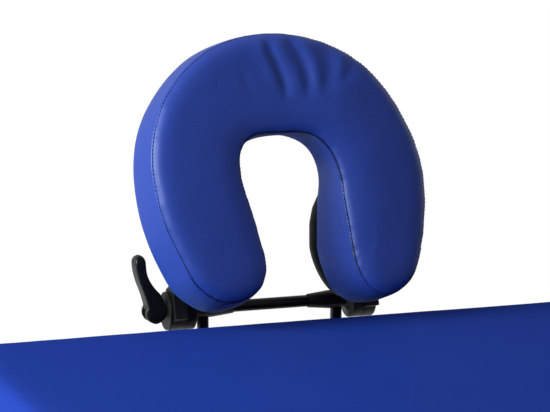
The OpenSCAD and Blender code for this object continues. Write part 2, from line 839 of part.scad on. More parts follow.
module cam_lever() {
    color(BLACK) at_pivot() translate([-lever_pin_x, 0, 0]) difference() {
        union() {
            rod_y(-lever_w / 2, lever_w, lever_head_r);
            translate([0, lever_w / 2, 0]) rotate([90, 0, 0]) linear_extrude(lever_w)
                polygon([for (s = lever_shares) s * lever_len]);
        }
        rod_y(-lever_w, 2 * lever_w, lever_pin_r + run_gap);
        translate([-lever_slot_back, -lever_slot_half, -lever_len])
            cube([lever_len, 2 * lever_slot_half, lever_len + lever_slot_back]);
    }
}

module cam_pin() {
    color(STEEL) at_pivot() translate([-lever_pin_x, 0, 0]) rod_y(-lever_w / 2, lever_w, lever_pin_r);
}

// Points round the horseshoe at one half width, counter-clockwise from the right arm's outer side
function horseshoe_ring(w, z) =
    let (
        sweep = 180 + 2 * toe_in,
        ex = ring_r * cos(toe_in) - arm_len * sin(toe_in),
        ey = -ring_r * sin(toe_in) - arm_len * cos(toe_in)
    )
    [for (p = concat(
        [for (k = [0:ARC_STEPS]) let (a = -toe_in + sweep * k / ARC_STEPS)
            (ring_r + w) * [cos(a), sin(a)]],
        [for (k = [0:END_STEPS]) let (a = 180 + toe_in + 180 * k / END_STEPS)
            [-ex + w * cos(a), ey + w * sin(a)]],
        [for (k = [0:ARC_STEPS]) let (a = 180 + toe_in - sweep * k / ARC_STEPS)
            (ring_r - w) * [cos(a), sin(a)]],
        [for (k = [0:END_STEPS]) let (a = 180 - toe_in + 180 * k / END_STEPS)
            [ex + w * cos(a), ey + w * sin(a)]]
    )) [p[0], p[1], z]];

module rest_board() {
    color(BLACK) on_rest() translate([0, ring_up, board_rise])
        linear_extrude(board_t) polygon([for (p = horseshoe_ring(board_half, 0)) [p[0], p[1]]]);
}

// Triangles that close one ring of the horseshoe across its band, seen from above
function band_cap(start) =
    let (inner = ARC_STEPS + END_STEPS + 2, last = inner + ARC_STEPS)
    concat(
        [for (k = [0:ARC_STEPS - 1]) each [
            [start + k, start + k + 1, start + last - k],
            [start + k + 1, start + last - k - 1, start + last - k]
        ]],
        [for (k = [ARC_STEPS:ARC_STEPS + END_STEPS]) [start + k, start + k + 1, start + inner]],
        [for (k = [last:last + END_STEPS]) [start + k, start + k + 1, start]]
    );

function flipped(faces) = [for (f = faces) [f[2], f[1], f[0]]];

module rest_cushion() {
    rows = len(cushion_profile_shares);
    count = 2 * (ARC_STEPS + END_STEPS + 2);
    points = [for (s = cushion_profile_shares) each horseshoe_ring(s[0] * band_half, s[1] * cushion_t)];
    faces = concat(
        wall_faces(rows, count),
        band_cap(0),
        flipped(band_cap((rows - 1) * count))
    );
    color(BLUE) on_rest() translate([0, ring_up, cushion_rise]) polyhedron(points, faces, convexity = 6);
}

// The assembly

pad(HEAD);  // head_pad
deck(HEAD);  // head_deck
side_rail(HEAD, LEFT);  // head_rail_left
side_rail(HEAD, RIGHT);  // head_rail_right
end_rail(HEAD);  // head_end_rail
centre_rail(HEAD);  // head_centre_rail
socket_block(HEAD);  // head_socket_block
stay_bracket(HEAD);  // head_stay_bracket
hinge_leaves(HEAD, 0);  // head_hinge_leaves
hinge_pins();
handle(HEAD);  // head_handle
fasteners(HEAD);  // head_fasteners
pad(FOOT);  // foot_pad
deck(FOOT);  // foot_deck
side_rail(FOOT, LEFT);  // foot_rail_left
side_rail(FOOT, RIGHT);  // foot_rail_right
end_rail(FOOT);  // foot_end_rail
centre_rail(FOOT);  // foot_centre_rail
socket_block(FOOT);  // foot_socket_block
stay_bracket(FOOT);  // foot_stay_bracket
hinge_leaves(FOOT, 1);  // foot_hinge_leaves
handle(FOOT);  // foot_handle
fasteners(FOOT);  // foot_fasteners
hook(LEFT);  // hook_left
hook(RIGHT);  // hook_right
upper_leg(HEAD, LEFT);  // head_leg_left
upper_leg(HEAD, RIGHT);  // head_leg_right
stretcher(HEAD);  // head_stretcher
leg_bolts(HEAD);  // head_leg_bolts
stay_ear(HEAD);  // head_stay_ear
upper_leg(FOOT, LEFT);  // foot_leg_left
upper_leg(FOOT, RIGHT);  // foot_leg_right
stretcher(FOOT);  // foot_stretcher
leg_bolts(FOOT);  // foot_leg_bolts
stay_ear(FOOT);  // foot_stay_ear
lower_leg(HEAD, LEFT);  // head_lower_leg_left
lower_leg(HEAD, RIGHT);  // head_lower_leg_right
lower_leg(FOOT, LEFT);  // foot_lower_leg_left
lower_leg(FOOT, RIGHT);  // foot_lower_leg_right
rubber_foot(HEAD, LEFT);  // head_rubber_foot_left
rubber_foot(HEAD, RIGHT);  // head_rubber_foot_right
rubber_foot(FOOT, LEFT);  // foot_rubber_foot_left
rubber_foot(FOOT, RIGHT);  // foot_rubber_foot_right
knob(HEAD, LEFT);  // head_knob_left
knob(HEAD, RIGHT);  // head_knob_right
knob(FOOT, LEFT);  // foot_knob_left
knob(FOOT, RIGHT);  // foot_knob_right
stay_upper(HEAD);  // head_stay_upper
stay_lower(HEAD);  // head_stay_lower
stay_upper(FOOT);  // foot_stay_upper
stay_lower(FOOT);  // foot_stay_lower
rest_frame();
rest_tees();
rest_hinges();
clamp_disc();
clamp_rod();
cam_lever();
cam_pin();
rest_board();
rest_cushion();
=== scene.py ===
"""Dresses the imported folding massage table: upholstery, beech, steel, plastic, lights and camera."""
import logging
import math
import re
from dataclasses import dataclass, field
from enum import Enum
from typing import Optional, Sequence, Union

import bpy
import bmesh
import numpy as np
from mathutils import Matrix, Vector, noise
from mathutils.kdtree import KDTree


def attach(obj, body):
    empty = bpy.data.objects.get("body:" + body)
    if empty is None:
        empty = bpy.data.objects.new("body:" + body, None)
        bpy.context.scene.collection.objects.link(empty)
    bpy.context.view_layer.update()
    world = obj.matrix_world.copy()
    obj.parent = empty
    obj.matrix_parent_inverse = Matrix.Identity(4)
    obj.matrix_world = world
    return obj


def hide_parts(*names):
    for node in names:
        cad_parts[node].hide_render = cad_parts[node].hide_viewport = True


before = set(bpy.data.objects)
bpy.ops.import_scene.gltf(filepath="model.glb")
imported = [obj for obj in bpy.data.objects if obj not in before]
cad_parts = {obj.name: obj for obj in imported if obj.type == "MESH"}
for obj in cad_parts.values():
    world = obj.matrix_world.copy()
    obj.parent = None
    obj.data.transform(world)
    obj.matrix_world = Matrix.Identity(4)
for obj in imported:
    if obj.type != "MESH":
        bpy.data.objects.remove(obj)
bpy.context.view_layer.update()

log = logging.getLogger("massage_table")
logging.basicConfig(level=logging.INFO, format="%(message)s")

Colour = tuple[float, float, float]
Point = tuple[float, float, float]
Table = tuple[tuple[float, float], ...]
Number = Union[int, float]

MM = 0.001
# Where the CAD model has the table's fold line along Y, and the axis on which the face rest tilts, in metres.
FOLD_LINE = -0.0437007
REST_PIVOT = Vector((0.0, 0.9212993, 0.710))


# ---------------------------------------------------------------------------
# Shader maths
# ---------------------------------------------------------------------------


class Port:
    """One output socket of a shader graph, which takes part in Python expressions."""

    def __init__(self, graph: "Graph", socket: bpy.types.NodeSocket) -> None:
        """Wraps a socket.

        Args:
            graph: The graph that the socket's node belongs to.
            socket: The output socket.
        """
        self.graph = graph
        self.socket = socket

    def _math(self, operation: str, *values: "Operand") -> "Port":
        """Adds a Math node.

        Args:
            operation: The Math node's operation.
            *values: Its inputs, in order.

        Returns:
            The node's result.
        """
        return self.graph.node("ShaderNodeMath", {"operation": operation}, dict(enumerate(values)))

    def __add__(self, other: "Operand") -> "Port":
        """This value plus another."""
        return self._math("ADD", self, other)

    def __radd__(self, other: "Operand") -> "Port":
        """Another value plus this one."""
        return self._math("ADD", other, self)

    def __sub__(self, other: "Operand") -> "Port":
        """This value less another."""
        return self._math("SUBTRACT", self, other)

    def __rsub__(self, other: "Operand") -> "Port":
        """Another value less this one."""
        return self._math("SUBTRACT", other, self)

    def __mul__(self, other: "Operand") -> "Port":
        """This value times another."""
        return self._math("MULTIPLY", self, other)

    def __rmul__(self, other: "Operand") -> "Port":
        """Another value times this one."""
        return self._math("MULTIPLY", other, self)

    def above(self, limit: float) -> "Port":
        """1 where the value is over the limit, otherwise 0."""
        return self._math("GREATER_THAN", self, limit)

    def size(self) -> "Port":
        """The value without its sign."""
        return self._math("ABSOLUTE", self)

    def wave(self, radians: float) -> "Port":
        """A wave between 0 and 1, with this many radians for each unit of the value."""
        return (self * radians).sine() * 0.5 + 0.5

    def sine(self) -> "Port":
        """The sine of the value, in radians."""
        return self._math("SINE", self)

    def other(self, out: str) -> "Port":
        """Another output of the same node."""
        return Port(self.graph, self.socket.node.outputs[out])

    def ramp(self, low: float, high: float, start: float = 0.0, end: float = 1.0) -> "Port":
        """Eases from start to end as the value goes from low to high.

        Args:
            low: The value at which the result is start.
            high: The value at which the result is end.
            start: The first result.
            end: The last result.

        Returns:
            The eased value.
        """
        return self.graph.node(
            "ShaderNodeMapRange",
            {"interpolation_type": "SMOOTHSTEP", "clamp": True},
            {"Value": self, "From Min": low, "From Max": high, "To Min": start, "To Max": end},
        )


Operand = Union[Port, Number]


class Graph:
    """The node tree of a material or of the world."""

    def __init__(self, owner: Union[bpy.types.Material, bpy.types.World], output: str) -> None:
        """Empties the tree and gives it its output.

        Args:
            owner: The material or the world.
            output: The output node's type.
        """
        owner.use_nodes = True
        self.tree = owner.node_tree
        self.tree.nodes.clear()
        self.output = self.tree.nodes.new(output)

    def node(self, kind: str, settings: Optional[dict] = None, values: Optional[dict] = None,
             out: Union[int, str] = 0) -> Port:
        """Adds any node.

        Args:
            kind: The node's type.
            settings: Properties of the node.
            values: Numbers, tuples or ports by input name or index.
            out: The output that is returned.

        Returns:
            One output of the node.
        """
        made = self.tree.nodes.new(kind)
        for key, value in (settings or {}).items():
            setattr(made, key, value)
        for key, value in (values or {}).items():
            self.feed(made.inputs[key], value)
        return Port(self, made.outputs[out])

    def feed(self, target: bpy.types.NodeSocket, value: Union[Operand, Sequence[float]]) -> None:
        """Links a port to an input, or sets the input's own value.

        Args:
            target: The input socket.
            value: A port, a number or a tuple.
        """
        if isinstance(value, Port):
            self.tree.links.new(value.socket, target)
        elif isinstance(value, tuple) and target.type == "RGBA" and len(value) == 3:
            target.default_value = (*value, 1)
        else:
            target.default_value = value

    def place(self) -> Port:
        """The point on the piece, in its own axes and in metres."""
        return self.node("ShaderNodeTexCoord", out="Object")

    def turned(self, vector: Port, degrees_x: float = 0.0, degrees_z: float = 0.0,
               scale: Sequence[float] = (1, 1, 1)) -> Port:
        """Turns and stretches a vector.

        Args:
            vector: The vector.
            degrees_x: Turn about X.
            degrees_z: Turn about Z.
            scale: Factors along the turned axes.

        Returns:
            The new vector.
        """
        turn = (math.radians(degrees_x), 0, math.radians(degrees_z))
        rolled = self.node("ShaderNodeMapping", {"vector_type": "POINT"}, {"Vector": vector, "Rotation": turn})
        return self.node("ShaderNodeVectorMath", {"operation": "MULTIPLY"}, {0: rolled, 1: tuple(scale)})

    def parts(self, vector: Port) -> tuple[Port, Port, Port]:
        """The three numbers of a vector."""
        first = self.node("ShaderNodeSeparateXYZ", None, {0: vector}, "X")
        return first, first.other("Y"), first.other("Z")

    def blend(self, factor: Operand, first: Union[Port, Colour], second: Union[Port, Colour]) -> Port:
        """Mixes two colours.

        Args:
            factor: Share of the second colour.
            first: The first colour.
            second: The second colour.

        Returns:
            The mixed colour.
        """
        return self.node("ShaderNodeMix", {"data_type": "RGBA"}, {0: factor, 6: first, 7: second}, 2)

    def mixed(self, factor: Operand, first: Port, second: Port) -> Port:
        """Mixes two shaders; the factor is the share of the second."""
        return self.node("ShaderNodeMixShader", None, {0: factor, 1: first, 2: second})

    def show(self, shader: Port) -> None:
        """Links a shader to the output."""
        self.feed(self.output.inputs["Surface"], shader)

    def cloud(self, vector: Port, scale: float, detail: float = 2.0, rough: float = 0.5) -> Port:
        """Soft noise between 0 and 1.

        Args:
            vector: Where to read it.
            scale: Features per metre.
            detail: Octaves.
            rough: Weight of the finer octaves.

        Returns:
            The noise.
        """
        return self.node("ShaderNodeTexNoise", None,
                         {"Vector": vector, "Scale": scale, "Detail": detail, "Roughness": rough})

    def cells(self, vector: Port, scale: float, feature: str = "F1") -> Port:
        """Distance to scattered points, as a grain of cells.

        Args:
            vector: Where to read it.
            scale: Cells per metre.
            feature: What the cell node measures.

        Returns:
            The distance.
        """
        return self.node("ShaderNodeTexVoronoi", {"feature": feature}, {"Vector": vector, "Scale": scale}, "Distance")

    def relief(self, height: Port, metres: float, strength: float) -> Port:
        """A bumped normal.

        Args:
            height: Relief from 0 to 1.
            metres: Its full height.
            strength: Strength of the effect.

        Returns:
            The normal.
        """
        return self.node("ShaderNodeBump", None, {"Height": height, "Distance": metres, "Strength": strength})


class Surface(Graph):
    """The node tree of one material, with its main shader."""

    def __init__(self, name: str) -> None:
        """Makes an empty material.

        Args:
            name: The material's name.
        """
        self.material = bpy.data.materials.new(name)
        super().__init__(self.material, "ShaderNodeOutputMaterial")
        self.main = self.node("ShaderNodeBsdfPrincipled")
        self.show(self.main)

    def finish(self, **sockets: Union[Operand, Sequence[float]]) -> bpy.types.Material:
        """Sets the main shader's sockets.

        Args:
            **sockets: Values by socket name, with underscores for spaces.

        Returns:
            The material.
        """
        for name, value in sockets.items():
            self.feed(self.main.socket.node.inputs[name.replace("_", " ")], value)
        return self.material


# ---------------------------------------------------------------------------
# Finishes
# ---------------------------------------------------------------------------


def shaded(colour: Colour, factor: float) -> Colour:
    """A colour made darker or lighter by a factor."""
    return tuple(factor * c for c in colour)


@dataclass(frozen=True)
class Vinyl:
    """Coated upholstery cover with a fine leather grain; its coat is thinner where the piece faces down, which paints
    shade there by dimming its reflections.
    """

    name: str = "blue_upholstery"
    colour: Colour = (0.0128, 0.0348, 0.219)
    deep: Colour = (0.0111, 0.0301, 0.193)
    rough: float = 0.36
    coat: float = 0.62
    grain: float = 0.00030
    sheen: float = 0.06
    pores_per_m: float = 780.0
    folds_per_m: float = 420.0
    creases_per_m: float = 300.0

    def material(self) -> bpy.types.Material:
        """Builds the cover's material.

        Returns:
            The material.
        """
        g = Surface(self.name)
        at = g.place()
        tone = g.cloud(at, 5.0, 2.0).ramp(0.30, 0.70)
        pores = g.cells(at, self.pores_per_m).ramp(0.05, 0.62)
        folds = g.cloud(at, self.folds_per_m, 4.0, 0.62)
        creases = g.cells(at, self.creases_per_m, "DISTANCE_TO_EDGE").ramp(0.0, 0.12)
        grain = pores * 0.55 + folds * 0.35 + creases * 0.25
        specks = g.cloud(at, 500.0, 2.0).ramp(0.42, 0.62) * 0.12
        colour = g.blend(specks, g.blend(tone, self.deep, self.colour), shaded(self.colour, 0.4))
        worn = g.cloud(at, 38.0, 3.0).ramp(0.30, 0.72)
        # Painted shade: the coat thins where the cover faces down, so the underside reflects less and renders darker.
        upward = g.parts(g.node("ShaderNodeTexCoord", out="Normal"))[2].ramp(-0.45, 0.05)
        coat_with_painted_shade = (upward * 0.75 + 0.25) * self.coat
        normal = g.relief(grain, self.grain, 0.6)
        return g.finish(Base_Color=colour, Roughness=self.rough + worn * 0.05, Normal=normal,
                        Specular_IOR_Level=0.0, Coat_Weight=coat_with_painted_shade, Coat_Roughness=0.42,
                        Sheen_Weight=self.sheen, Sheen_Roughness=0.35, Sheen_Tint=(0.25, 0.62, 1.0))


@dataclass(frozen=True)
class Thread:
    """Twisted sewing thread."""

    name: str = "navy_thread"
    colour: Colour = (0.0016, 0.0026, 0.0100)

    def material(self) -> bpy.types.Material:
        """Builds the thread's material.

        Returns:
            The material.
        """
        g = Surface(self.name)
        at = g.place()
        twist = g.cloud(g.turned(at, 35, 35, (1, 1, 4)), 1600.0, 2.0)
        colour = g.blend(twist, self.colour, shaded(self.colour, 2.2))
        return g.finish(Base_Color=colour, Roughness=0.62 + twist * 0.2, Normal=g.relief(twist, 0.0001, 0.5),
                        Specular_IOR_Level=0.3)


class Grain(Enum):
    """Which way the wood runs: degrees about X and about Z that bring it onto the shader's X axis."""

    ACROSS = (0.0, 0.0)
    ALONG = (0.0, 90.0)
    HEAD_LEG = (-86.0, 90.0)
    FOOT_LEG = (-94.0, 90.0)


@dataclass(frozen=True)
class Beech:
    """Lacquered beech with its short dark flecks."""

    grain: Grain
    pale: Colour = (0.640, 0.410, 0.215)
    dark: Colour = (0.470, 0.262, 0.118)
    fleck: Colour = (0.300, 0.150, 0.062)
    bands: float = 62.0

    def material(self) -> bpy.types.Material:
        """Builds the wood's material.

        Returns:
            The material.
        """
        g = Surface(f"beech_{self.grain.name.lower()}")
        around, along = self.grain.value
        at = g.turned(g.place(), around, 0)
        at = g.turned(at, 0, along)
        slow = g.turned(at, scale=(1.2, 16, 16))
        fine = g.turned(at, scale=(9, 330, 330))
        marks = g.turned(at, scale=(170, 1500, 1500))
        growth = g.cloud(slow, 3.2, 3.0, 0.55)
        bands = growth.wave(self.bands)
        fibre = g.cloud(fine, 1.0, 3.0, 0.6)
        flecks = g.cloud(marks, 1.0, 1.0).ramp(0.66, 0.73)
        colour = g.blend(bands * 0.42 + fibre * 0.5, self.pale, self.dark)
        colour = g.blend(flecks * 0.55, colour, self.fleck)
        height = fibre * 0.7 - flecks * 0.5
        return g.finish(Base_Color=colour, Roughness=0.36 + fibre * 0.16, Normal=g.relief(height, 0.00012, 0.5),
                        Coat_Weight=0.18, Coat_Roughness=0.22)


@dataclass(frozen=True)
class Plywood:
    """Birch plywood with its layers on the edge."""

    name: str = "birch_plywood"
    pale: Colour = (0.600, 0.430, 0.255)
    dark: Colour = (0.450, 0.285, 0.145)
    layer: float = 0.0012

    def material(self) -> bpy.types.Material:
        """Builds the plywood's material.

        Returns:
            The material.
        """
        g = Surface(self.name)
        at = g.place()
        _, _, height = g.parts(at)
        _, _, up = g.parts(g.node("ShaderNodeNewGeometry", out="Normal"))
        edge = 1 - up.size().ramp(0.4, 0.6)
        layers = (height * (math.pi / self.layer)).sine().above(0.0)
        face = g.cloud(g.turned(at, scale=(40, 2.5, 40)), 4.0, 4.0, 0.6)
        colour = g.blend(face, self.pale, self.dark)
        colour = g.blend(edge * layers * 0.75, colour, shaded(self.dark, 0.55))
        fibre = g.cloud(g.turned(at, scale=(420, 12, 420)), 1.0, 3.0)
        return g.finish(Base_Color=colour, Roughness=0.55 + fibre * 0.2, Normal=g.relief(fibre, 0.00015, 0.5))


@dataclass(frozen=True)
class Metal:
    """Zinc-plated steel, drawn or stamped."""

    name: str = "plated_steel"
    colour: Colour = (0.560, 0.575, 0.590)
    rough: float = 0.30

    def material(self) -> bpy.types.Material:
        """Builds the steel's material.

        Returns:
            The material.
        """
        g = Surface(self.name)
        at = g.place()
        drawn = g.cloud(g.turned(at, scale=(900, 60, 900)), 1.0, 3.0)
        stain = g.cloud(at, 70.0, 4.0, 0.6)
        colour = g.blend(stain.ramp(0.35, 0.75), self.colour, shaded(self.colour, 0.72))
        return g.finish(Base_Color=colour, Metallic=1.0, Roughness=self.rough + drawn * 0.10 + stain * 0.10,
                        Normal=g.relief(drawn, 0.00003, 0.4))


@dataclass(frozen=True)
class BlackCoat:
    """Black paint or moulded plastic with a fine texture and slightly rubbed high spots."""

    name: str
    colour: Colour = (0.0030, 0.0028, 0.0026)
    rubbed: Colour = (0.0080, 0.0076, 0.0072)
    rough: float = 0.38
    texture: float = 900.0
    depth: float = 0.00010
    specular: float = 0.28

    def material(self) -> bpy.types.Material:
        """Builds the coat's material.

        Returns:
            The material.
        """
        g = Surface(self.name)
        at = g.place()
        skin = g.cloud(at, self.texture, 3.0, 0.55)
        rub = g.cloud(at, 55.0, 4.0, 0.6).ramp(0.48, 0.75)
        colour = g.blend(rub, self.colour, self.rubbed)
        return g.finish(Base_Color=colour, Roughness=self.rough + rub * 0.10 + skin * 0.06,
                        Normal=g.relief(skin, self.depth, 0.45), Specular_IOR_Level=self.specular)


@dataclass(frozen=True)
class Webbing:
    """Black woven strap: ribs across it and the weave between them."""

    name: str = "black_webbing"
    colour: Colour = (0.010, 0.010, 0.011)
    pale: Colour = (0.045, 0.045, 0.048)
    rib: float = 0.0016

    def material(self) -> bpy.types.Material:
        """Builds the strap's material.

        Returns:
            The material.
        """
        g = Surface(self.name)
        _, along, up = g.parts(g.place())
        ribs = along.wave(2 * math.pi / self.rib)
        rows = up.wave(2 * math.pi / (1.3 * self.rib))
        weave = ribs * 0.6 + rows * 0.4
        colour = g.blend(weave, self.colour, self.pale)
        return g.finish(Base_Color=colour, Roughness=0.82, Normal=g.relief(weave, 0.0005, 0.7),
                        Sheen_Weight=0.25, Specular_IOR_Level=0.25)


@dataclass(frozen=True)
class StageWhite:
    """The floor: near the table it keeps part of the shadow, further off it is white; reflections see it dimmer."""

    name: str = "studio_floor"
    shade: float = 0.80
    glow: float = 0.76
    near: float = 1.5
    far: float = 3.3
    mirrored: float = 0.35

    def material(self) -> bpy.types.Material:
        """Builds the floor's material.

        Returns:
            The material.
        """
        g = Surface(self.name)
        g.finish(Base_Color=(self.shade, self.shade, self.shade), Roughness=0.9, Specular_IOR_Level=0.0)
        paths = g.node("ShaderNodeLightPath", out="Is Camera Ray")
        seen = paths + paths.other("Is Glossy Ray") * self.mirrored + paths.other("Is Transmission Ray")
        light = g.node("ShaderNodeEmission", None, {"Color": (1.0, 1.0, 1.0), "Strength": 1.0})
        across, along, _ = g.parts(g.place())
        glow = (across * across + along * along).ramp(self.near ** 2, self.far ** 2, self.glow, 1.0)
        g.show(g.mixed(seen * glow, g.main, light))
        return g.material


# ---------------------------------------------------------------------------
# Mesh helpers
# ---------------------------------------------------------------------------


def add_object(name: str, data: bpy.types.ID) -> bpy.types.Object:
    """Puts a mesh, lamp or camera into the scene.

    Args:
        name: The object's name.
        data: Its data.

    Returns:
        The object.
    """
    made = bpy.data.objects.new(name, data)
    bpy.context.scene.collection.objects.link(made)
    return made


def new_piece(name: str, points: Sequence[Sequence[float]], faces: Sequence[Sequence[int]],
              material: bpy.types.Material, smooth: bool = True) -> bpy.types.Object:
    """Makes a mesh piece in the table's own axes.

    Args:
        name: The piece's name.
        points: Its corners, in metres.
        faces: Its faces, as lists of corner numbers.
        material: Its material.
        smooth: Whether it is shaded smooth.

    Returns:
        The piece.
    """
    mesh = bpy.data.meshes.new(name)
    mesh.from_pydata([tuple(float(v) for v in p) for p in points], [], [tuple(f) for f in faces])
    b = bmesh.new()
    b.from_mesh(mesh)
    bmesh.ops.remove_doubles(b, verts=b.verts, dist=1e-6)
    bmesh.ops.recalc_face_normals(b, faces=b.faces)
    b.to_mesh(mesh)
    b.free()
    for polygon in mesh.polygons:
        polygon.use_smooth = smooth
    mesh.materials.append(material)
    return add_object(name, mesh)


def ring_faces(rows: int, count: int, capped: bool = False) -> list[tuple[int, ...]]:
    """Four-sided faces between stacked rings.

    Args:
        rows: Number of rings.
        count: Points on each ring.
        capped: Whether the first and the last ring are filled.

    Returns:
        The faces.
    """
    sides = [(k * count + i, k * count + (i + 1) % count, (k + 1) * count + (i + 1) % count, (k + 1) * count + i)
             for k in range(rows - 1) for i in range(count)]
    if not capped:
        return sides
    return [tuple(reversed(range(count))), *sides, tuple(range((rows - 1) * count, rows * count))]


def carve(piece: bpy.types.Object, corners: Sequence[Vector]) -> None:
    """Takes a prism out of a piece.

    Args:
        piece: The piece.
        corners: The prism's corners, all of one end and then all of the other.
    """
    faces = ring_faces(2, len(corners) // 2, capped=True)
    cutter = new_piece("cutter", corners, faces, piece.data.materials[0], smooth=False)
    cut = piece.modifiers.new("cut", "BOOLEAN")
    cut.operation, cut.solver, cut.object = "DIFFERENCE", "EXACT", cutter
    bpy.context.view_layer.update()
    shaped = bpy.data.meshes.new_from_object(piece.evaluated_get(bpy.context.evaluated_depsgraph_get()))
    piece.modifiers.clear()
    piece.data = shaped
    bpy.data.objects.remove(cutter)


def soften(piece: bpy.types.Object, edge: float) -> None:
    """Welds a piece's corners and softens its edges.

    Args:
        piece: The piece.
        edge: Width of the softened edges.
    """
    weld = piece.modifiers.new("weld", "WELD")
    weld.merge_threshold = 2e-6
    bevel = piece.modifiers.new("edges", "BEVEL")
    bevel.width, bevel.segments, bevel.limit_method = edge, 2, "ANGLE"
    bevel.angle_limit, bevel.harden_normals = math.radians(38), False


def fit(pieces: Sequence[bpy.types.Object], node: str, body: str) -> None:
    """Puts finished pieces on the table and reports them.

    Args:
        pieces: The pieces that take the hidden CAD node's place.
        node: The CAD node.
        body: The body that they ride on.
    """
    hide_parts(node)
    for piece in pieces:
        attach(piece, body)
        log.info("%s: %d faces", piece.name, len(piece.data.polygons))


def curve_through(points: Sequence[Sequence[float]], steps: int) -> np.ndarray:
    """A smooth curve that passes through every point.

    Args:
        points: The points.
        steps: Samples on each stretch.

    Returns:
        The samples, first and last point included.
    """
    p = np.array(points, float)
    p = np.vstack([2 * p[0] - p[1], p, 2 * p[-1] - p[-2]])
    made = []
    for i in range(1, len(p) - 2):
        for t in np.linspace(0, 1, steps, endpoint=False):
            a, b, c, d = p[i - 1], p[i], p[i + 1], p[i + 2]
            made.append(0.5 * ((2 * b) + (c - a) * t + (2 * a - 5 * b + 4 * c - d) * t ** 2
                               + (3 * b - a - 3 * c + d) * t ** 3))
    made.append(p[-2])
    return np.array(made)


def run_along(points: np.ndarray) -> np.ndarray:
    """The distance of each point from the first, along the line through them."""
    return np.concatenate([[0], np.cumsum(np.linalg.norm(np.diff(points, axis=0), axis=1))])


def read_table(table: Table, at: Union[float, np.ndarray]) -> Union[float, np.ndarray]:
    """Reads a table of places and values at one or more places."""
    places, values = zip(*table)
    return np.interp(at, places, values)


def smoothing(reach: int, width: float) -> np.ndarray:
    """The weights of a bell-shaped window, which add up to 1."""
    weights = np.exp(-(np.arange(-reach, reach + 1) / width) ** 2)
    return weights / weights.sum()


def smooth_step(low: float, high: float, value: Union[float, np.ndarray]) -> Union[float, np.ndarray]:
    """Eases from 0 to 1 as value goes from low to high."""
    t = np.clip((value - low) / (high - low), 0.0, 1.0)
    return t * t * (3 - 2 * t)


# One stitch from end to end: share of its length from the middle, share of its girth, and lift in diameters.
STITCH_ROWS = ((-0.5, 0.35, -0.9), (-0.38, 0.9, -0.25), (0.0, 1.0, 0.15), (0.38, 0.9, -0.25), (0.5, 0.35, -0.9))
THREAD_FACETS = 6


def sew(name: str, places: Sequence[tuple[Vector, Vector, Vector]], length: float, thick: float,
        thread: bpy.types.Material) -> bpy.types.Object:
    """Makes a piece of small thread stitches that dip at both ends.

    Args:
        name: The piece's name.
        places: For each stitch its middle, its direction and its outward direction.
        length: Length of a stitch.
        thick: Diameter of the thread.
        thread: The thread's material.

    Returns:
        The stitches.
    """
    points: list[Vector] = []
    faces: list[tuple[int, ...]] = []
    stitch_faces = ring_faces(len(STITCH_ROWS), THREAD_FACETS, capped=True)
    for middle, along, out in places:
        side = along.cross(out).normalized()
        base = len(points)
        for share, girth, lift in STITCH_ROWS:
            centre = middle + along * (share * length) + out * (lift * thick)
            for k in range(THREAD_FACETS):
                a = 2 * math.pi * k / THREAD_FACETS
                points.append(centre + (side * math.cos(a) + out * math.sin(a)) * (girth * thick / 2))
        faces += [tuple(base + i for i in face) for face in stitch_faces]
    return new_piece(name, points, faces, thread)


# ---------------------------------------------------------------------------
# Face rest
# ---------------------------------------------------------------------------


@dataclass(frozen=True)
class Margin:
    """How far the cushion's band reaches from its middle line along one stretch, in millimetres.

    The window eases the widths: its reach and its width are counted in samples.
    """

    back: Table
    seam: Table
    samples: int = 401
    window: tuple[int, float] = (18, 7.0)

    def widths(self, shares: np.ndarray) -> np.ndarray:
        """The band's widths, eased between the stated ones.

        Args:
            shares: Places along the stretch, from 0 to 1.

        Returns:
            For each place the width at the back and the width at the seam.
        """
        fine = np.linspace(0, 1, self.samples)
        weights = smoothing(*self.window)
        made = []
        for table in (self.back, self.seam):
            values = np.pad(read_table(table, fine), self.window[0], mode="edge")
            made.append(np.interp(shares, fine, np.convolve(values, weights, "valid")))
        return np.column_stack(made)


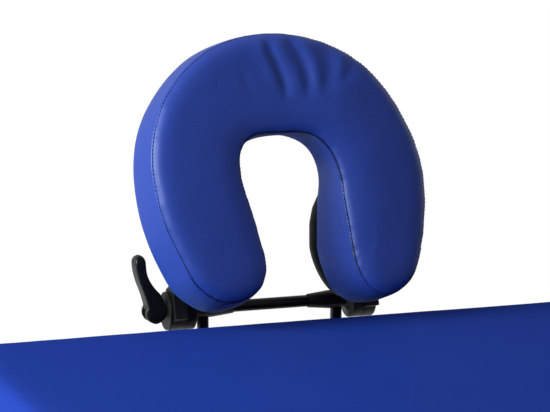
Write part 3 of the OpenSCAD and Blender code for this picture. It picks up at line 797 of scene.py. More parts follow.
class Stretch(Enum):
    """The four stretches of the band's edge, each with its widths from its first end to its last.

    The outer and the inner side go from the right arm's end over the top to the left arm's. The two ends go from
    the outer side to the inner.
    """

    OUTER = Margin(
        ((0, 49), (.03, 50.4), (.09, 50.6), (.147, 48.0), (.19, 44.8), (.24, 43), (.286, 43.2), (.333, 44.6),
         (.377, 45.6), (.419, 46), (.46, 47.2), (.5, 49.4), (.54, 52.6), (.6, 55.4), (.65, 52.8), (.69, 52.2),
         (.724, 51.8), (.767, 50), (.817, 47.4), (.858, 48.2), (.9, 50.4), (.95, 49.6), (1, 47)),
        ((0, 46.8), (.03, 48.2), (.09, 49.0), (.147, 46.6), (.19, 43.2), (.24, 41.2), (.286, 41.2), (.333, 42.8),
         (.377, 44), (.419, 44.2), (.46, 44.9), (.5, 46.4), (.54, 48.4), (.607, 50.4), (.646, 49.8), (.682, 49.8),
         (.717, 49.2), (.759, 47.2), (.805, 44.8), (.851, 44), (.907, 44.6), (.958, 43), (1, 41)))
    INNER = Margin(
        ((0, 45.4), (.04, 46.9), (.10, 47.7), (.166, 46.5), (.213, 45.3), (.25, 44.2), (.289, 43.2), (.337, 43.2),
         (.38, 44.9), (.44, 46.8), (.5, 47.5), (.55, 46.8), (.611, 44.6), (.666, 42.6), (.70, 42.6), (.739, 43.6),
         (.796, 45.6), (.884, 46), (.947, 44.4), (1, 42)),
        ((0, 29), (.04, 34), (.10, 41.4), (.15, 44.8), (.213, 46.6), (.25, 47), (.289, 47.3), (.337, 48.3),
         (.38, 50.6), (.44, 54.2), (.5, 55.6), (.55, 53.3), (.60, 47.9), (.65, 42.4), (.70, 41.4), (.739, 43.2),
         (.796, 45.8), (.884, 45.8), (.947, 43.8), (1, 40)))
    RIGHT_END = Margin(
        ((0, 49), (.08, 47.8), (.24, 52.4), (.36, 54.2), (.47, 55.4), (.57, 55.2), (.66, 51.8), (.78, 45.6),
         (.9, 44.2), (1, 45.4)),
        ((0, 46.8), (.08, 46), (.24, 51.2), (.36, 53.8), (.455, 54.4), (.52, 51), (.63, 39.6), (.75, 32), (.88, 28),
         (1, 29)))
    LEFT_END = Margin(
        ((0, 47), (.08, 44.4), (.16, 42.2), (.23, 41.6), (.33, 43.4), (.46, 43), (.59, 45.4), (.70, 47), (.78, 44.6),
         (.88, 41.8), (1, 42)),
        ((0, 41), (.04, 39.9), (.2, 38.4), (.32, 39.6), (.43, 39.8), (.57, 40.6), (.70, 42.4), (.78, 41.6), (.88, 40),
         (1, 40)))


@dataclass(frozen=True)
class Fold:
    """A fold of the cover over the horseshoe's top: its line, height and half width in millimetres."""

    line: Table
    height: float
    width: float

    def lift(self, x: np.ndarray, up: np.ndarray) -> np.ndarray:
        """How far the fold raises points of the face.

        Args:
            x: Across the cushion, in millimetres from the ring's centre.
            up: Along it.

        Returns:
            The heights in millimetres, below zero in a valley.
        """
        line = curve_through(self.line, 8)
        line = line[np.argsort(line[:, 1])]
        low, high = line[0, 1], line[-1, 1]
        middle = np.interp(up, line[:, 1], line[:, 0])
        share = (up - low) / (high - low)
        fade = smooth_step(-0.35, 0.20, share) * (1 - smooth_step(0.85, 1.30, share))
        return self.height * fade * np.exp(-((x - middle) / (1.2 * self.width)) ** 2)


@dataclass
class Station:
    """One cut through the band: its place on the middle line and the way out of the band."""

    point: np.ndarray
    out: tuple[float, float]
    stretch: Stretch
    share: float

    def inner(self) -> float:
        """Tells the hole's side from the outer side.

        Returns:
            1 on the hole's side, 0 on the outer side, and between them round an arm's end.
        """
        if self.stretch in (Stretch.OUTER, Stretch.INNER):
            return 1.0 if self.stretch is Stretch.INNER else 0.0
        return float(smooth_step(0, 1, self.share))


@dataclass
class FaceCushion:
    """The horseshoe cushion of the face rest, with its seam and folds. Its form is in millimetres.

    The window eases the band's widths from cut to cut. The dents go by how many are in a millimetre and by their
    height, and the swells by their middle, their reach and their height.
    """

    ring_radius: float = 97.5
    lean: float = math.radians(14)
    arm: float = 56.5
    thick: float = 68.0
    twist: float = math.radians(4)
    rise: float = 118.0
    base: float = 37.0
    tilt: float = math.radians(73)
    pivot: Vector = field(default_factory=REST_PIVOT.copy)
    step: float = 2.0
    window: tuple[int, float] = (14, 5.5)
    cap_steps: int = 76
    seam_row: int = 29
    face_rows: int = 26
    crowding: float = 1.9
    dents: Table = ((0.020, 0.55), (0.052, 0.22))
    pucker: float = 0.42
    pucker_reach: float = 6.5
    groove_depth: float = 1.3
    groove_width: float = 1.05
    stitch: float = 3.2
    stitch_gap: float = 0.8
    thread: float = 1.05
    thread_lift: float = 0.4
    # How close to the seam's line the faces take the painted shade, in millimetres.
    seam_shade_reach: float = 2.2
    seam_shade_half: float = 1.3
    folds: tuple[Fold, ...] = (
        Fold(((-20.7, 129.5), (-18.4, 121.3), (-15.1, 112.0), (-13.0, 102.8), (-10.4, 92.6)), 1.0, 6.0),
        Fold(((-11.7, 129.2), (-9.4, 121.0), (-6.0, 112.8), (-2.4, 102.5), (0.2, 92.2), (2.0, 84.0)), -2.3, 4.2),
        Fold(((-0.3, 130.9), (3.9, 120.6), (8.2, 111.3), (12.5, 102.0), (14.8, 93.8), (15.5, 85.6)), 1.1, 6.5),
        Fold(((13.1, 131.6), (18.8, 120.2), (22.6, 110.8), (24.8, 101.6), (25.5, 93.4), (25.6, 85.2)), -2.2, 5.2),
        Fold(((27.3, 129.1), (32.7, 119.8), (34.9, 110.5), (35.5, 101.2), (35.7, 93.1), (35.3, 84.9)), 1.2, 6.0),
        Fold(((47.2, 123.4), (49.5, 115.1), (50.2, 106.9), (48.5, 96.7), (44.9, 84.6)), -1.9, 8.0),
        Fold(((65.0, 117.8), (64.2, 110.6), (61.0, 102.5), (56.3, 94.4)), 0.9, 6.0),
        Fold(((75.1, 111.3), (71.9, 102.1), (66.4, 92.0)), -1.0, 6.0),
        Fold(((-43.0, 103.0), (-39.3, 93.6), (-36.0, 85.4)), -0.6, 4.0),
    )
    swells: tuple[tuple[float, float, float, float], ...] = (
        (56, 76, 42, 4.2), (90, 18, 36, 3.0), (90, -40, 32, 2.6), (-88, -10, 40, 1.5))

    def place(self, x: float, up: float, out: float) -> Vector:
        """A point of the face rest.

        Args:
            x: Across the table, in millimetres.
            up: Along the rest from its pivot.
            out: Out of its face.

        Returns:
            The point in the table's axes, in metres.
        """
        return self.pivot + self.turn(x, up, out) * MM

    def turn(self, x: float, up: float, out: float) -> Vector:
        """A direction on the face rest, in the table's axes."""
        c, s = math.cos(self.tilt), math.sin(self.tilt)
        return Vector((x, up * c - out * s, up * s + out * c))

    def on_rest(self, point: Sequence[float]) -> Vector:
        """A point of the cushion's own form, in the table's axes and in metres."""
        return self.place(point[0], self.rise + point[1], self.base + point[2])

    def twisted(self, x: Union[float, np.ndarray], up: Union[float, np.ndarray]) -> tuple:
        """Turns points by the angle at which the cushion sits on its board."""
        c, s = math.cos(self.twist), math.sin(self.twist)
        return c * x - s * up, s * x + c * up

    def stations(self) -> list[Station]:
        """Cuts the band all round.

        Returns:
            The cuts of the outer side, the left end, the inner side and the right end.
        """
        r, lean = self.ring_radius, self.lean
        arm_steps = round(self.arm / self.step)
        sweep = math.pi + 2 * lean
        arc_steps = round(r * sweep / self.step)
        start = np.array([r * math.cos(lean), -r * math.sin(lean)])
        end = start - self.arm * np.array([math.sin(lean), math.cos(lean)])
        out = (math.cos(lean), -math.sin(lean))
        spine = [(end + (start - end) * k / arm_steps, out) for k in range(arm_steps)]
        for k in range(arc_steps + 1):
            a = -lean + sweep * k / arc_steps
            spine.append((np.array([r * math.cos(a), r * math.sin(a)]), (math.cos(a), math.sin(a))))
        spine += [(p * (-1, 1), (-n[0], n[1])) for p, n in reversed(spine[:arm_steps])]
        run = run_along(np.array([point for point, _ in spine]))
        shares = run / run[-1]
        made = [Station(p, n, Stretch.OUTER, s) for (p, n), s in zip(spine, shares)]
        for k in range(1, self.cap_steps):
            a = math.pi + lean + math.pi * k / self.cap_steps
            made.append(Station(end * (-1, 1), (math.cos(a), math.sin(a)), Stretch.LEFT_END, k / self.cap_steps))
        made += [Station(p, (-n[0], -n[1]), Stretch.INNER, s) for (p, n), s in zip(reversed(spine), reversed(shares))]
        for k in range(1, self.cap_steps):
            a = math.pi - lean + math.pi * k / self.cap_steps
            made.append(Station(end, (math.cos(a), math.sin(a)), Stretch.RIGHT_END, 1 - k / self.cap_steps))
        return made

    def widths(self, stations: Sequence[Station]) -> np.ndarray:
        """The band's widths at every station, eased round the loop.

        Args:
            stations: The cuts, in order.

        Returns:
            For each the width at the back and at the seam.
        """
        made = np.zeros((len(stations), 2))
        for stretch in Stretch:
            own = [i for i, s in enumerate(stations) if s.stretch is stretch]
            made[own] = stretch.value.widths(np.array([stations[i].share for i in own]))
        reach, weights = self.window[0], smoothing(*self.window)
        looped = np.vstack([made[-reach:], made, made[:reach]])
        return np.column_stack([np.convolve(looped[:, k], weights, "valid") for k in (0, 1)])

    def section(self, back: float, seam: float, inner: float) -> np.ndarray:
        """One side of the band's section, from its back over the wall and the seam to its crown.

        Args:
            back: The width at the back.
            seam: The width at the seam.
            inner: 1 on the hole's side, whose crown falls off more slowly, and 0 on the outer side.

        Returns:
            Distances from the middle line and shares of the thickness.
        """
        def slope(share: float) -> float:
            """The wall's width part of the way from the back to the seam."""
            return back + (seam - back) * share

        wall = ((0, 0), (.5 * back, 0), (back - 7, 0), (back - 2.6, .010), (back - .5, .055), (slope(.06) + .5, .14),
                (slope(.33) + 1.3, .34), (slope(.66) + 1.4, .58), (slope(.93) + .9, .79), (seam + .3, .858),
                (seam, .89))
        steps = ((0, .89, .89), (2.2, .917, .913), (5.5, .951, .938), (10, .977, .959), (15.5, .991, .976),
                 (22, .998, .989))
        face = [(seam - step, outer + (own - outer) * inner) for step, outer, own in steps]
        face += [(.2 * seam, 1 - .002 * inner), (0, 1)]
        near = 1 - (1 - np.linspace(0, 1, self.seam_row + 1)) ** self.crowding
        far = np.linspace(0, 1, self.face_rows) ** self.crowding
        made = []
        for part, shares in ((wall, near), (face, far)):
            line = curve_through(part, 24)
            run = run_along(line * (1, self.thick))
            made.append(np.column_stack([np.interp(shares * run[-1], run, line[:, i]) for i in (0, 1)]))
        return np.vstack([made[0], made[1][1:]])

    def grid(self) -> np.ndarray:
        """Lays out the cover's plain form.

        Returns:
            Rings of points, from the back's middle line to the face's.
        """
        stations = self.stations()
        columns = []
        for station, (back, seam) in zip(stations, self.widths(stations)):
            section = self.section(back, seam, station.inner())
            x, up = self.twisted(*(station.point[i] + station.out[i] * section[:, 0] for i in (0, 1)))
            columns.append(np.column_stack([x, up, section[:, 1] * self.thick]))
        return np.array(columns).transpose(1, 0, 2)

    def normals(self, grid: np.ndarray) -> np.ndarray:
        """Outward directions at the points of the rings.

        Args:
            grid: Rings of points.

        Returns:
            Unit vectors, in the same places.
        """
        around = np.roll(grid, -1, axis=1) - np.roll(grid, 1, axis=1)
        made = np.cross(around, np.gradient(grid, axis=0))
        made /= np.maximum(np.linalg.norm(made, axis=2, keepdims=True), 1e-12)
        made[-2:] = (0, 0, 1)
        return made

    def cover_relief(self, grid: np.ndarray, runs: np.ndarray, gaps: np.ndarray) -> np.ndarray:
        """How far the cover stands off its plain form: folds, puckers at the seam, dents and the seam's groove.

        Args:
            grid: Rings of points.
            runs: Distance along the seam at each station.
            gaps: Distance from the seam at each point.

        Returns:
            The heights in millimetres.
        """
        x, up, z = grid[..., 0], grid[..., 1], grid[..., 2]
        face = smooth_step(0.74, 0.94, z / self.thick)
        wall = (1 - face) * smooth_step(1.0, 8.0, z)
        dents = np.array([[sum(rise * noise.noise(Vector(point) * often) for often, rise in self.dents)
                           for point in row] for row in grid])
        puckers = np.array([noise.noise(Vector((run * 0.075, 0.3, 1.7)))
                            + 0.7 * noise.noise(Vector((run * 0.17, 4.1, 0.2))) for run in runs])
        height = dents * (face + wall)
        height += self.pucker * puckers * np.exp(-(gaps / self.pucker_reach) ** 2) * smooth_step(1.0, 8.0, z)
        folds = sum(fold.lift(x, up) for fold in self.folds)
        swells = sum(rise * np.exp(-((x - cx) ** 2 + (up - cy) ** 2) / reach ** 2)
                     for cx, cy, reach, rise in self.swells)
        height += face * (folds + swells)
        height -= self.groove_depth * np.exp(-(gaps / self.groove_width) ** 2)
        height[0] = 0
        return height

    def build(self, cover: bpy.types.Material, seam_shade: bpy.types.Material,
              thread: bpy.types.Material) -> list[bpy.types.Object]:
        """Makes the cushion and its stitches.

        Args:
            cover: The upholstery material.
            seam_shade: The dark cover material that paints shade into the bottom of the seam.
            thread: The thread's material.

        Returns:
            The cushion and the stitches.
        """
        grid = self.grid()
        runs = run_along(grid[self.seam_row])
        reach = np.cumsum(np.linalg.norm(np.diff(grid, axis=0, prepend=grid[:1]), axis=2), axis=0)
        gaps = np.abs(reach - reach[self.seam_row])
        normals = self.normals(grid)
        moved = grid + normals * self.cover_relief(grid, runs, gaps)[..., None]
        points = [self.on_rest(p) for row in moved for p in row]
        rows, count = grid.shape[:2]
        cushion = new_piece("face_cushion", points, ring_faces(rows, count), cover)
        self.paint_seam_shade(cushion, seam_shade, moved[self.seam_row])
        stitches = self.build_stitches(moved[self.seam_row], normals[self.seam_row], thread)
        return [cushion, stitches]

    def paint_seam_shade(self, cushion: bpy.types.Object, seam_shade: bpy.types.Material, seam: np.ndarray) -> None:
        """Paints shade into the bottom of the seam's groove: its faces get a dark copy of the cover's material.

        Args:
            cushion: The cushion.
            seam_shade: The dark material of the painted shade.
            seam: Points of the seam's line.
        """
        tree = KDTree(len(seam))
        for number, p in enumerate(seam):
            tree.insert(self.on_rest(p), number)
        tree.balance()
        # Painted shade: faces close to the seam's line take the dark material.
        cushion.data.materials.append(seam_shade)
        for polygon in cushion.data.polygons:
            near = [tree.find(cushion.data.vertices[i].co)[2] for i in polygon.vertices]
            if max(near) < self.seam_shade_reach * MM and tree.find(polygon.center)[2] < self.seam_shade_half * MM:
                polygon.material_index = 1

    def build_stitches(self, line: np.ndarray, out: np.ndarray, thread: bpy.types.Material) -> bpy.types.Object:
        """Sews along the seam.

        Args:
            line: Points of the seam.
            out: Outward directions there.
            thread: The thread's material.

        Returns:
            The stitches as one piece.
        """
        closed, outs = np.vstack([line, line[:1]]), np.vstack([out, out[:1]])
        run = run_along(closed)
        total = int(run[-1] / (self.stitch + self.stitch_gap))
        places = []
        for k in range(total):
            s = (k + 0.5) * run[-1] / total
            at, on = (Vector([np.interp(q, run, closed[:, i]) for i in range(3)])
                      for q in (s, s + 0.3 * self.stitch))
            normal = Vector([np.interp(s, run, outs[:, i]) for i in range(3)]).normalized()
            along = (on - at).normalized()
            away = self.turn(*normal).normalized()
            middle = self.on_rest(at) + away * (self.thread_lift * MM)
            places.append((middle, self.turn(*along).normalized(), away))
        return sew("face_cushion_stitches", places, self.stitch * MM, self.thread * MM, thread)

    def dress(self, cover: bpy.types.Material, seam_shade: bpy.types.Material, thread: bpy.types.Material) -> None:
        """Builds the cushion and puts it on the face rest.

        Args:
            cover: The upholstery material.
            seam_shade: The dark cover material that paints shade into the bottom of the seam.
            thread: The thread's material.
        """
        cushion, stitches = self.build(cover, seam_shade, thread)
        fit([cushion, stitches], "rest_cushion", "face_rest")


@dataclass
class RestBoard:
    """The backing board, cut a little smaller than the cushion that it carries. Its form is in millimetres."""

    cushion: FaceCushion
    rear: float = 25.0
    thick: float = 12.0
    edge: float = 2.4
    insets: dict[Stretch, Table] = field(default_factory=lambda: {
        Stretch.OUTER: ((0, 6), (1, 9)),
        Stretch.LEFT_END: ((0, 9), (.5, 9), (1, 6)),
        Stretch.INNER: ((0, -2.5), (.05, -2.5), (.085, 0), (.12, 6), (.16, 10), (.6, 10), (1, 6)),
        Stretch.RIGHT_END: ((0, 6), (.5, 6), (.8, 0), (1, -2.5)),
    })

    def build(self, board: bpy.types.Material) -> bpy.types.Object:
        """Makes the board.

        Args:
            board: Its material.

        Returns:
            The board.
        """
        form = self.cushion
        stations = form.stations()
        low, high, e = self.rear, self.rear + self.thick, self.edge
        rows = ((None, low), (e, low), (.3 * e, low + .3 * e), (0, low + e), (0, high - e), (.3 * e, high - .3 * e),
                (e, high), (None, high))
        points = []
        for trim, out in rows:
            for station, (back, _) in zip(stations, form.widths(stations)):
                inset = float(read_table(self.insets[station.stretch], station.share))
                width = 0.0 if trim is None else back - inset - trim
                x, up = form.twisted(*(station.point[i] + station.out[i] * width for i in (0, 1)))
                points.append(form.place(x, form.rise + up, out))
        return new_piece("backing_board", points, ring_faces(len(rows), len(stations)), board)

    def dress(self, board: bpy.types.Material) -> None:
        """Builds the board and puts it on the face rest."""
        fit([self.build(board)], "rest_board", "face_rest")


@dataclass
class HingeFlanges:
    """The moving clutch halves, with the outer corners of their flanges cut off. The cut is in millimetres."""

    cushion: FaceCushion
    cut: Table = ((111.5, 20.5), (111.5, 66), (97.5, 66), (97.5, 34))
    depth: float = 60.0
    edge: float = 0.0009

    def build(self, cast: bpy.types.Material) -> bpy.types.Object:
        """Makes the clutch halves.

        Args:
            cast: Their material.

        Returns:
            Both halves as one piece.
        """
        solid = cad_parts["rest_hinges"]
        mesh = solid.data.copy()
        mesh.materials.clear()
        mesh.materials.append(cast)
        piece = add_object("clutch_flanges", mesh)
        piece.matrix_world = solid.matrix_world.copy()
        for side in (-1, 1):
            carve(piece, [self.cushion.place(side * x, up, out)
                          for out in (-self.depth, self.depth) for x, up in self.cut])
        soften(piece, self.edge)
        return piece

    def dress(self, cast: bpy.types.Material) -> None:
        """Builds the clutch halves and puts them on the face rest."""
        fit([self.build(cast)], "rest_hinges", "face_rest")


@dataclass
class CamLever:
    """The curved lever that clamps the face rest's tilt, in metres; its two sides are in millimetres."""

    pin: Vector = field(default_factory=lambda: REST_PIVOT + Vector((-0.1246, 0, 0)))
    length: float = 0.0590
    head: float = 0.011
    width: float = 0.0195
    fillet: float = 0.0021
    slot_half: float = 0.0045
    slot_back: float = 0.007
    mouth: float = 0.004
    neck: float = 0.006
    head_taper: float = 0.14
    arm_taper: float = 0.10
    tip_taper: float = 0.55
    tip_from: float = 0.86
    rows: int = 77
    left_side: Table = ((-9.5, -4), (-9.2, 6), (-11.0, 13.5), (-13.2, 20.4), (-16.7, 29.5), (-19.3, 38), (-20.9, 46),
                        (-21.3, 52), (-20.4, 56.2), (-18.6, 58.3), (-15.8, 59))
    right_side: Table = ((9.5, -4), (9.2, 6), (7.8, 12), (5.8, 16.6), (3.2, 20.4), (0, 23.7), (-4.3, 29.5),
                         (-7.9, 36.2), (-9.6, 42.5), (-10.3, 50), (-10.8, 54.4), (-12.6, 57.8), (-15.8, 59))

    def edges(self, z: float) -> tuple[float, float]:
        """The lever's two sides at one height, from the pin.

        Args:
            z: Height above the pin.

        Returns:
            The left and the right side.
        """
        lines = (curve_through(side, 12) * MM for side in (self.left_side, self.right_side))
        left, right = (float(np.interp(z, line[:, 1], line[:, 0])) for line in lines)
        bulge = math.sqrt(max(0.0, self.head ** 2 - z * z))
        if z < self.neck:
            return -bulge, bulge
        if z < self.head:
            return min(left, -bulge), max(right, bulge)
        return left, right

    def half_depth(self, z: float) -> float:
        """Half of the lever's depth at one height from the pin; it thins a little at the head and more at the tip.

        Args:
            z: Height above the pin.

        Returns:
            Half of the depth.
        """
        if z <= 0:
            return self.width / 2 * (1 - self.head_taper * smooth_step(0.3, 1.0, -z / self.head))
        up = z / self.length
        tip = max(0.0, (up - self.tip_from) / (1 - self.tip_from)) ** 2.4
        return self.width / 2 * (1 - self.arm_taper * smooth_step(0.45, 0.9, up) - self.tip_taper * tip)

    def section(self, left: float, right: float, half: float) -> list[tuple[float, float]]:
        """A rounded rectangle between the two sides.

        Args:
            left: The left side.
            right: The right side.
            half: Half of its depth.

        Returns:
            Its points.
        """
        radius = max(1e-5, min(self.fillet, (right - left) * 0.48, half * 0.9))
        made = []
        corners = ((right - radius, half - radius, 0), (left + radius, half - radius, 90),
                   (left + radius, -half + radius, 180), (right - radius, -half + radius, 270))
        for cx, cy, start in corners:
            for k in range(7):
                a = math.radians(start + 15 * k)
                made.append((cx + radius * math.cos(a), cy + radius * math.sin(a)))
        return made

    def build(self, plastic: bpy.types.Material) -> bpy.types.Object:
        """Makes the lever.

        Args:
            plastic: Its material.

        Returns:
            The lever.
        """
        low, high = -self.head, self.length
        points: list[Vector] = []
        for k in range(self.rows):
            z = low + (high - low) * (0.5 - 0.5 * math.cos(math.pi * k / (self.rows - 1)))
            left, right = self.edges(min(max(z, low + 2e-4), high - 1.5e-4))
            points += [self.pin + Vector((x, y, z)) for x, y in self.section(left, right, self.half_depth(z))]
        faces = ring_faces(self.rows, len(points) // self.rows, capped=True)
        lever = new_piece("cam_lever_paddle", points, faces, plastic)
        self.cut_slot(lever)
        return lever

    def cut_slot(self, lever: bpy.types.Object) -> None:
        """Opens the fork that straddles the clamping rod.

        Args:
            lever: The lever.
        """
        for left, right, top in ((-self.slot_back, self.length, self.slot_back), (-self.length, 0.0, self.mouth)):
            outline = ((left, -self.length), (right, -self.length), (right, top), (left, top))
            carve(lever, [self.pin + Vector((x, y, z))
                          for y in (-self.slot_half, self.slot_half) for x, z in outline])

    def dress(self, plastic: bpy.types.Material) -> None:
        """Builds the lever and hangs it on its body."""
        fit([self.build(plastic)], "cam_lever", "cam_lever")


# ---------------------------------------------------------------------------
# Table
# ---------------------------------------------------------------------------


class Half(Enum):
    """A half of the table, with the direction in which it lies from the fold line along Y."""

    HEAD = 1
    FOOT = -1

    def part(self, word: str) -> str:
        """The name of one of the half's parts."""
        return f"{self.name.lower()}_{word}"

    def along(self, distance: float) -> float:
        """The Y of a place, from its distance to the fold line."""
        return FOLD_LINE + self.value * distance


@dataclass
class TablePad:
    """One half of the padded top. Its waves go by how many are in a metre, their height and the layer of noise."""

    half: Half
    width: float = 0.680
    length: float = 0.930
    gap: float = 0.002
    top: float = 0.700
    thick: float = 0.050
    corner: float = 0.045
    corner_steps: int = 12
    sharpest: float = 0.0006
    step: float = 0.009
    flat_reach: float = 0.315
    flat_step: float = 0.017
    crown: float = 0.0008
    waves: tuple[tuple[float, float, float], ...] = ((7, 0.0006, 1.5), (31, 0.00025, 5.5))
    pleat_angles: tuple[int, ...] = (18, 36, 54, 72)
    pleat_spread: float = 3.4
    pleat_depth: float = 0.0009
    rows: Table = ((0.0150, 0.0), (0.0085, 0.0004), (0.0040, 0.0022), (0.0014, 0.0070), (0.0003, 0.0130),
                   (0.0, 0.0200), (0.0003, 0.0280), (0.0012, 0.0350), (0.0030, 0.0412), (0.0062, 0.0463),
                   (0.0105, 0.0494), (0.0165, 0.0508), (0.0270, 0.0514), (0.0450, 0.0517))

    def ring(self, inset: float) -> list[tuple[float, float]]:
        """The pad's outline at one inset, with the same number of points at every inset.

        Args:
            inset: Distance in from the largest outline.

        Returns:
            Points as x and distance from the fold line.
        """
        outer = max(self.sharpest, self.corner - inset)
        inner = max(self.sharpest, min(outer, 0.2 * self.corner))
        w, n, f = self.width / 2 - inset, self.gap / 2 + inset, self.length - inset
        arcs = ((w - inner, n + inner, inner, -90), (w - outer, f - outer, outer, 0),
                (-w + outer, f - outer, outer, 90), (-w + inner, n + inner, inner, 180))
        made: list[tuple[float, float]] = []
        for number, (cx, cy, r, start) in enumerate(arcs):
            for k in range(self.corner_steps + 1):
                a = math.radians(start + 90 * k / self.corner_steps)
                made.append((cx + r * math.cos(a), cy + r * math.sin(a)))
            nx, ny, nr, nstart = arcs[(number + 1) % 4]
            a = math.radians(nstart)
            target = (nx + nr * math.cos(a), ny + nr * math.sin(a))
            span = self.length if number % 2 == 0 else self.width
            steps = round(span / self.step)
            last = made[-1]
            made += [(last[0] + (target[0] - last[0]) * k / steps, last[1] + (target[1] - last[1]) * k / steps)
                     for k in range(1, steps)]
        return made

    def pleats(self, x: float, u: float, z: float) -> float:
        """Depth of the cover's tucks at the outer corners.

        Args:
            x: Across the table.
            u: Distance from the fold line.
            z: Height above the pad's underside.

        Returns:
            The height in metres, below zero in a tuck.
        """
        cx, cu = self.width / 2 - self.corner, self.length - self.corner
        if abs(x) < cx or u < cu:
            return 0.0
        angle = math.degrees(math.atan2(u - cu, abs(x) - cx))
        depth = sum(math.exp(-((angle - a) / self.pleat_spread) ** 2) for a in self.pleat_angles)
        return -self.pleat_depth * depth * (1 - smooth_step(0.006, 0.034, z))

    def build(self, cover: bpy.types.Material) -> bpy.types.Object:
        """Makes the pad.

        Args:
            cover: The upholstery material.

        Returns:
            The pad.
        """
        profile = list(self.rows)
        inset, shoulder = profile[-1]
        while inset < self.flat_reach:
            inset += self.flat_step
            profile.append((inset, shoulder + self.crown * smooth_step(0.06, 0.30, inset)))
        points: list[Vector] = []
        sign = self.half.value
        for inset, z in profile:
            for x, u in self.ring(inset):
                wave = sum(height * noise.noise(Vector((x * often, u * often * sign, layer)))
                           for often, height, layer in self.waves)
                raised = smooth_step(0.020, 0.046, z)
                tuck = self.pleats(x, u, z)
                side = Vector((x / (self.width / 2), (u - self.length / 2) / (self.length / 2), 0))
                lean = Vector((math.copysign(1, side.x) if abs(side.x) > 0.9 else 0,
                               math.copysign(1, side.y) if abs(side.y) > 0.93 else 0, 0))
                shift = lean * (tuck + (1 - raised) * wave if z > 0.001 else 0.0)
                y = self.half.along(u + shift.y)
                points.append(Vector((x + shift.x, y, self.top - self.thick + z + raised * min(wave, self.crown))))
        faces = ring_faces(len(profile), len(points) // len(profile), capped=True)
        return new_piece(self.half.part("cover"), points, faces, cover)

    def dress(self, cover: bpy.types.Material) -> None:
        """Builds the pad and puts it on its half of the table.

        Args:
            cover: The upholstery material.
        """
        pad = self.build(cover)
        fit([pad], self.half.part("pad"), self.half.part("half"))


@dataclass
class CarryHandle:
    """A strap of webbing screwed to the side rail, with its stitching."""

    half: Half
    rail: float = 0.328
    middle: float = 0.470
    length: float = 0.220
    base: float = 0.594
    width: float = 0.030
    thick: float = 0.003
    seat: float = 0.034
    ramp: float = 0.022
    gap: float = 0.0064
    edge: float = 0.0008
    stitch: float = 0.0027
    stitch_pitch: float = 0.0036
    thread: float = 0.0007

    def path(self) -> np.ndarray:
        """Leads the strap from its one seat over the hand's room to the other.

        Returns:
            Points of its inner face, as distance along it and distance from the rail.
        """
        half = [(0, 0), (self.seat * 0.5, 0), (self.seat, 0.0001), (self.seat + self.ramp * 0.5, self.gap * 0.5),
                (self.seat + self.ramp, self.gap), (self.length * 0.38, self.gap)]
        mirrored = [(self.length - along, out) for along, out in reversed(half)]
        return curve_through([*half, (self.length * 0.5, self.gap), *mirrored], 6)

    def section(self) -> list[tuple[float, float]]:
        """The strap's section, with its edges taken off.

        Returns:
            Points, as distance from its inner face and height.
        """
        t, e, half = self.thick, self.edge, self.width / 2
        upper = [(0, half - e), (e * 0.3, half - e * 0.3), (e, half), (t - e, half), (t - e * 0.3, half - e * 0.3),
                 (t, half - e)]
        return upper + [(off, -up) for off, up in reversed(upper)]

    def stitches(self, thread: bpy.types.Material) -> bpy.types.Object:
        """Sews a box on each end of the strap.

        Args:
            thread: The thread's material.

        Returns:
            The stitches as one piece.
        """
        x, mid = self.rail + self.thick, self.base + self.width / 2
        reach, tall = self.seat * 0.36, self.width * 0.36
        places = []
        for end in (-1, 1):
            centre = self.middle + end * (self.length - self.seat) / 2
            corners = [Vector((x, self.half.along(centre + u * reach), mid + z * tall))
                       for u, z in ((-1, -1), (1, -1), (1, 1), (-1, 1))]
            for a, b in zip(corners, corners[1:] + corners[:1]):
                steps = round((b - a).length / self.stitch_pitch)
                places += [(a.lerp(b, (k + 0.5) / steps), (b - a).normalized(), Vector((1, 0, 0)))
                           for k in range(steps)]
        return sew(self.half.part("strap_stitches"), places, self.stitch, self.thread, thread)

    def build(self, strap: bpy.types.Material, thread: bpy.types.Material) -> list[bpy.types.Object]:
        """Makes the strap and its stitches.

        Args:
            strap: The webbing's material.
            thread: The thread's material.

        Returns:
            The strap and the stitches.
        """
        start, middle = self.middle - self.length / 2, self.base + self.width / 2
        path, section = self.path(), self.section()
        points = [Vector((self.rail + max(0.0, float(out)) + off, self.half.along(start + float(along)), middle + up))
                  for along, out in path for off, up in section]
        faces = ring_faces(len(path), len(section), capped=True)
        return [new_piece(self.half.part("strap"), points, faces, strap), self.stitches(thread)]

    def dress(self, strap: bpy.types.Material, thread: bpy.types.Material) -> None:
        """Builds the handle and puts it on its half of the table."""
        fit(self.build(strap, thread), self.half.part("handle"), self.half.part("half"))


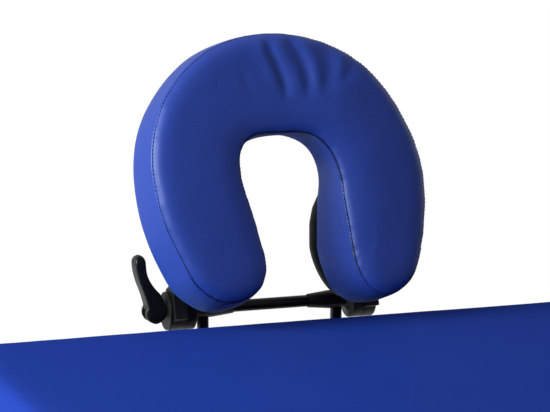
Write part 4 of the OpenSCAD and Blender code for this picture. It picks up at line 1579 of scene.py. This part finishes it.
@dataclass
class Hardware:
    """The CAD nodes that keep their shape: they get finishes and softened edges."""

    beech: dict[Grain, bpy.types.Material]
    plywood: bpy.types.Material
    steel: bpy.types.Material
    cast: bpy.types.Material
    paint: bpy.types.Material
    plastic: bpy.types.Material
    dark: bpy.types.Material
    rubber: bpy.types.Material

    def finish_of(self, node: str) -> tuple[bpy.types.Material, float]:
        """The material and the edge radius of a node.

        Args:
            node: The node's name.

        Returns:
            Its material and the width of its softened edges.
        """
        rules = (
            (r"head.*leg_(left|right)", self.beech[Grain.HEAD_LEG], 0.0022),
            (r".*leg_(left|right)", self.beech[Grain.FOOT_LEG], 0.0022),
            (r".*(end_rail|centre_rail|stretcher)", self.beech[Grain.ACROSS], 0.0010),
            (r".*socket_block", self.beech[Grain.ACROSS], 0.0012),
            (r".*rail_(left|right)", self.beech[Grain.ALONG], 0.0008),
            (r".*deck", self.plywood, 0.0005),
            (r"cam_pin", self.dark, 0.0003),
            (r"rest_tees|clamp_disc", self.cast, 0.0009),
            (r"rest_frame", self.paint, 0.0006),
            (r".*knob.*", self.plastic, 0.0012),
            (r".*rubber_foot.*", self.rubber, 0.0016),
            (r".*", self.steel, 0.0003),
        )
        return next((material, edge) for names, material, edge in rules if re.fullmatch(names, node))

    def dress(self) -> None:
        """Finishes each node that isn't replaced."""
        for name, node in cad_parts.items():
            if node.hide_render:
                continue
            material, edge = self.finish_of(name)
            node.data.materials.clear()
            node.data.materials.append(material)
            soften(node, edge)
            log.info("%s: %s", name, material.name)


# ---------------------------------------------------------------------------
# Studio
# ---------------------------------------------------------------------------


def aimed(place: Vector, look: Vector) -> Matrix:
    """The stand of a camera or a lamp that looks along a direction."""
    return Matrix.Translation(place) @ look.to_track_quat("-Z", "Y").to_matrix().to_4x4()


@dataclass(frozen=True)
class Softbox:
    """A square lamp: where it hangs, what it faces, its side in metres, its power in watts and its tint."""

    name: str
    place: Point
    target: Point
    side: float
    watts: float
    tint: Colour = (1, 1, 1)

    def hang(self) -> None:
        """Puts the lamp into the scene."""
        data = bpy.data.lights.new(self.name, "AREA")
        data.shape, data.size, data.energy, data.color = "SQUARE", self.side, self.watts, self.tint
        add_object(self.name, data).matrix_world = aimed(Vector(self.place), Vector(self.target) - Vector(self.place))


@dataclass
class Studio:
    """Camera, lamps, floor and surroundings. The last three numbers are the strengths of the surroundings."""

    eye: Vector = field(default_factory=lambda: Vector((-0.77176, -1.15187, 1.14926)))
    yaw: float = math.radians(20.55)
    pitch: float = math.radians(8.69)
    focal_px: float = 2193.23
    image_width: int = 550
    floor_reach: float = 30.0
    lamps: tuple[Softbox, ...] = (
        Softbox("key_left", (-2.7, 0.72, 1.9), (0, 0.85, 0.80), 1.5, 155, (0.82, 0.95, 1.0)),
        Softbox("shoulder_left", (-2.19, -0.51, 1.68), (-0.14, 0.87, 0.86), 0.40, 44, (0.84, 0.95, 1.0)),
        Softbox("top", (0.1, 0.6, 3.0), (0, 0.6, 0.7), 2.4, 8),
        Softbox("front_fill", (0.9, -2.6, 1.9), (0, 0.6, 0.7), 2.0, 2),
        Softbox("right_fill", (2.8, 1.2, 1.6), (0, 0.8, 0.7), 1.6, 9),
    )
    surround: float = 0.25
    bright_side: float = 0.66
    dark_side: float = 0.20

    def camera(self) -> None:
        """Sets the camera where the photograph was taken."""
        data = bpy.data.cameras.new("photo_camera")
        data.sensor_fit, data.sensor_width = "HORIZONTAL", 36
        data.lens = self.focal_px / self.image_width * data.sensor_width
        data.clip_start, data.clip_end = 0.01, 100
        look = Vector((math.sin(self.yaw) * math.cos(self.pitch), math.cos(self.yaw) * math.cos(self.pitch),
                       -math.sin(self.pitch)))
        bpy.context.scene.camera = add_object("photo_camera", data)
        bpy.context.scene.camera.matrix_world = aimed(self.eye, look)

    def surroundings(self) -> None:
        """A white room to the camera; reflections see it pale behind the table and dim on the camera's side."""
        world = bpy.data.worlds.new("studio")
        bpy.context.scene.world = world
        g = Graph(world, "ShaderNodeOutputWorld")
        soft, white, bright, dim = (
            g.node("ShaderNodeBackground", None, {"Color": (1.0, 1.0, 1.0), "Strength": strength})
            for strength in (self.surround, 1.0, self.bright_side, self.dark_side))
        _, behind, _ = g.parts(g.node("ShaderNodeTexCoord", out="Generated"))
        mirrored = g.mixed(behind.ramp(-0.35, 0.35), dim, bright)
        paths = g.node("ShaderNodeLightPath", out="Is Camera Ray")
        lit = g.mixed(paths.other("Is Glossy Ray") + paths.other("Is Transmission Ray"), soft, mirrored)
        g.show(g.mixed(paths, lit, white))

    def floor(self) -> None:
        """Lays the pale floor."""
        r = self.floor_reach
        corners = [(-r, -r, 0), (r, -r, 0), (r, r, 0), (-r, r, 0)]
        new_piece("floor", corners, [(0, 1, 2, 3)], StageWhite().material(), smooth=False)

    def build(self) -> None:
        """Sets up the whole studio."""
        self.camera()
        self.surroundings()
        self.floor()
        for lamp in self.lamps:
            lamp.hang()
        bpy.context.scene.view_settings.view_transform = "Standard"


def main() -> None:
    """Builds the studio and dresses the table, piece by piece."""
    Studio().build()
    cover, thread = Vinyl().material(), Thread().material()
    strap_thread = Thread("black_thread", (0.008, 0.008, 0.009)).material()
    plastic = BlackCoat("moulded_plastic", rough=0.36, texture=1400.0, depth=0.00006).material()
    board = BlackCoat("board_black", rough=0.62, texture=260.0, depth=0.00020, specular=0.3).material()
    table_cover = Vinyl("table_upholstery", (0.0122, 0.0315, 0.212), (0.0116, 0.0303, 0.204), rough=0.46, coat=0.02,
                        grain=0.00010, sheen=0.0).material()
    # A dark copy of the cover that paints shade into the bottom of the seam's groove.
    seam_shade = Vinyl("seam_upholstery", (0.004, 0.009, 0.060), (0.003, 0.007, 0.045), rough=0.5).material()
    cushion = FaceCushion()
    cushion.dress(cover, seam_shade, thread)
    RestBoard(cushion).dress(board)
    cast = BlackCoat("cast_black", rough=0.42, texture=700.0, depth=0.00016).material()
    HingeFlanges(cushion).dress(cast)
    CamLever().dress(plastic)
    webbing = Webbing().material()
    for half in Half:
        TablePad(half).dress(table_cover)
        CarryHandle(half).dress(webbing, strap_thread)
    Hardware(
        beech={grain: Beech(grain).material() for grain in Grain},
        plywood=Plywood().material(),
        steel=Metal().material(),
        cast=cast,
        paint=BlackCoat("painted_black", rough=0.30, texture=500.0, depth=0.00008).material(),
        plastic=plastic,
        dark=Metal("blackened_steel", (0.060, 0.061, 0.064), rough=0.34).material(),
        rubber=BlackCoat("grey_rubber", (0.020, 0.020, 0.021), (0.042, 0.042, 0.043), rough=0.74, texture=500.0,
                         depth=0.0002, specular=0.3).material(),
    ).dress()


if __name__ == "__main__":
    main()
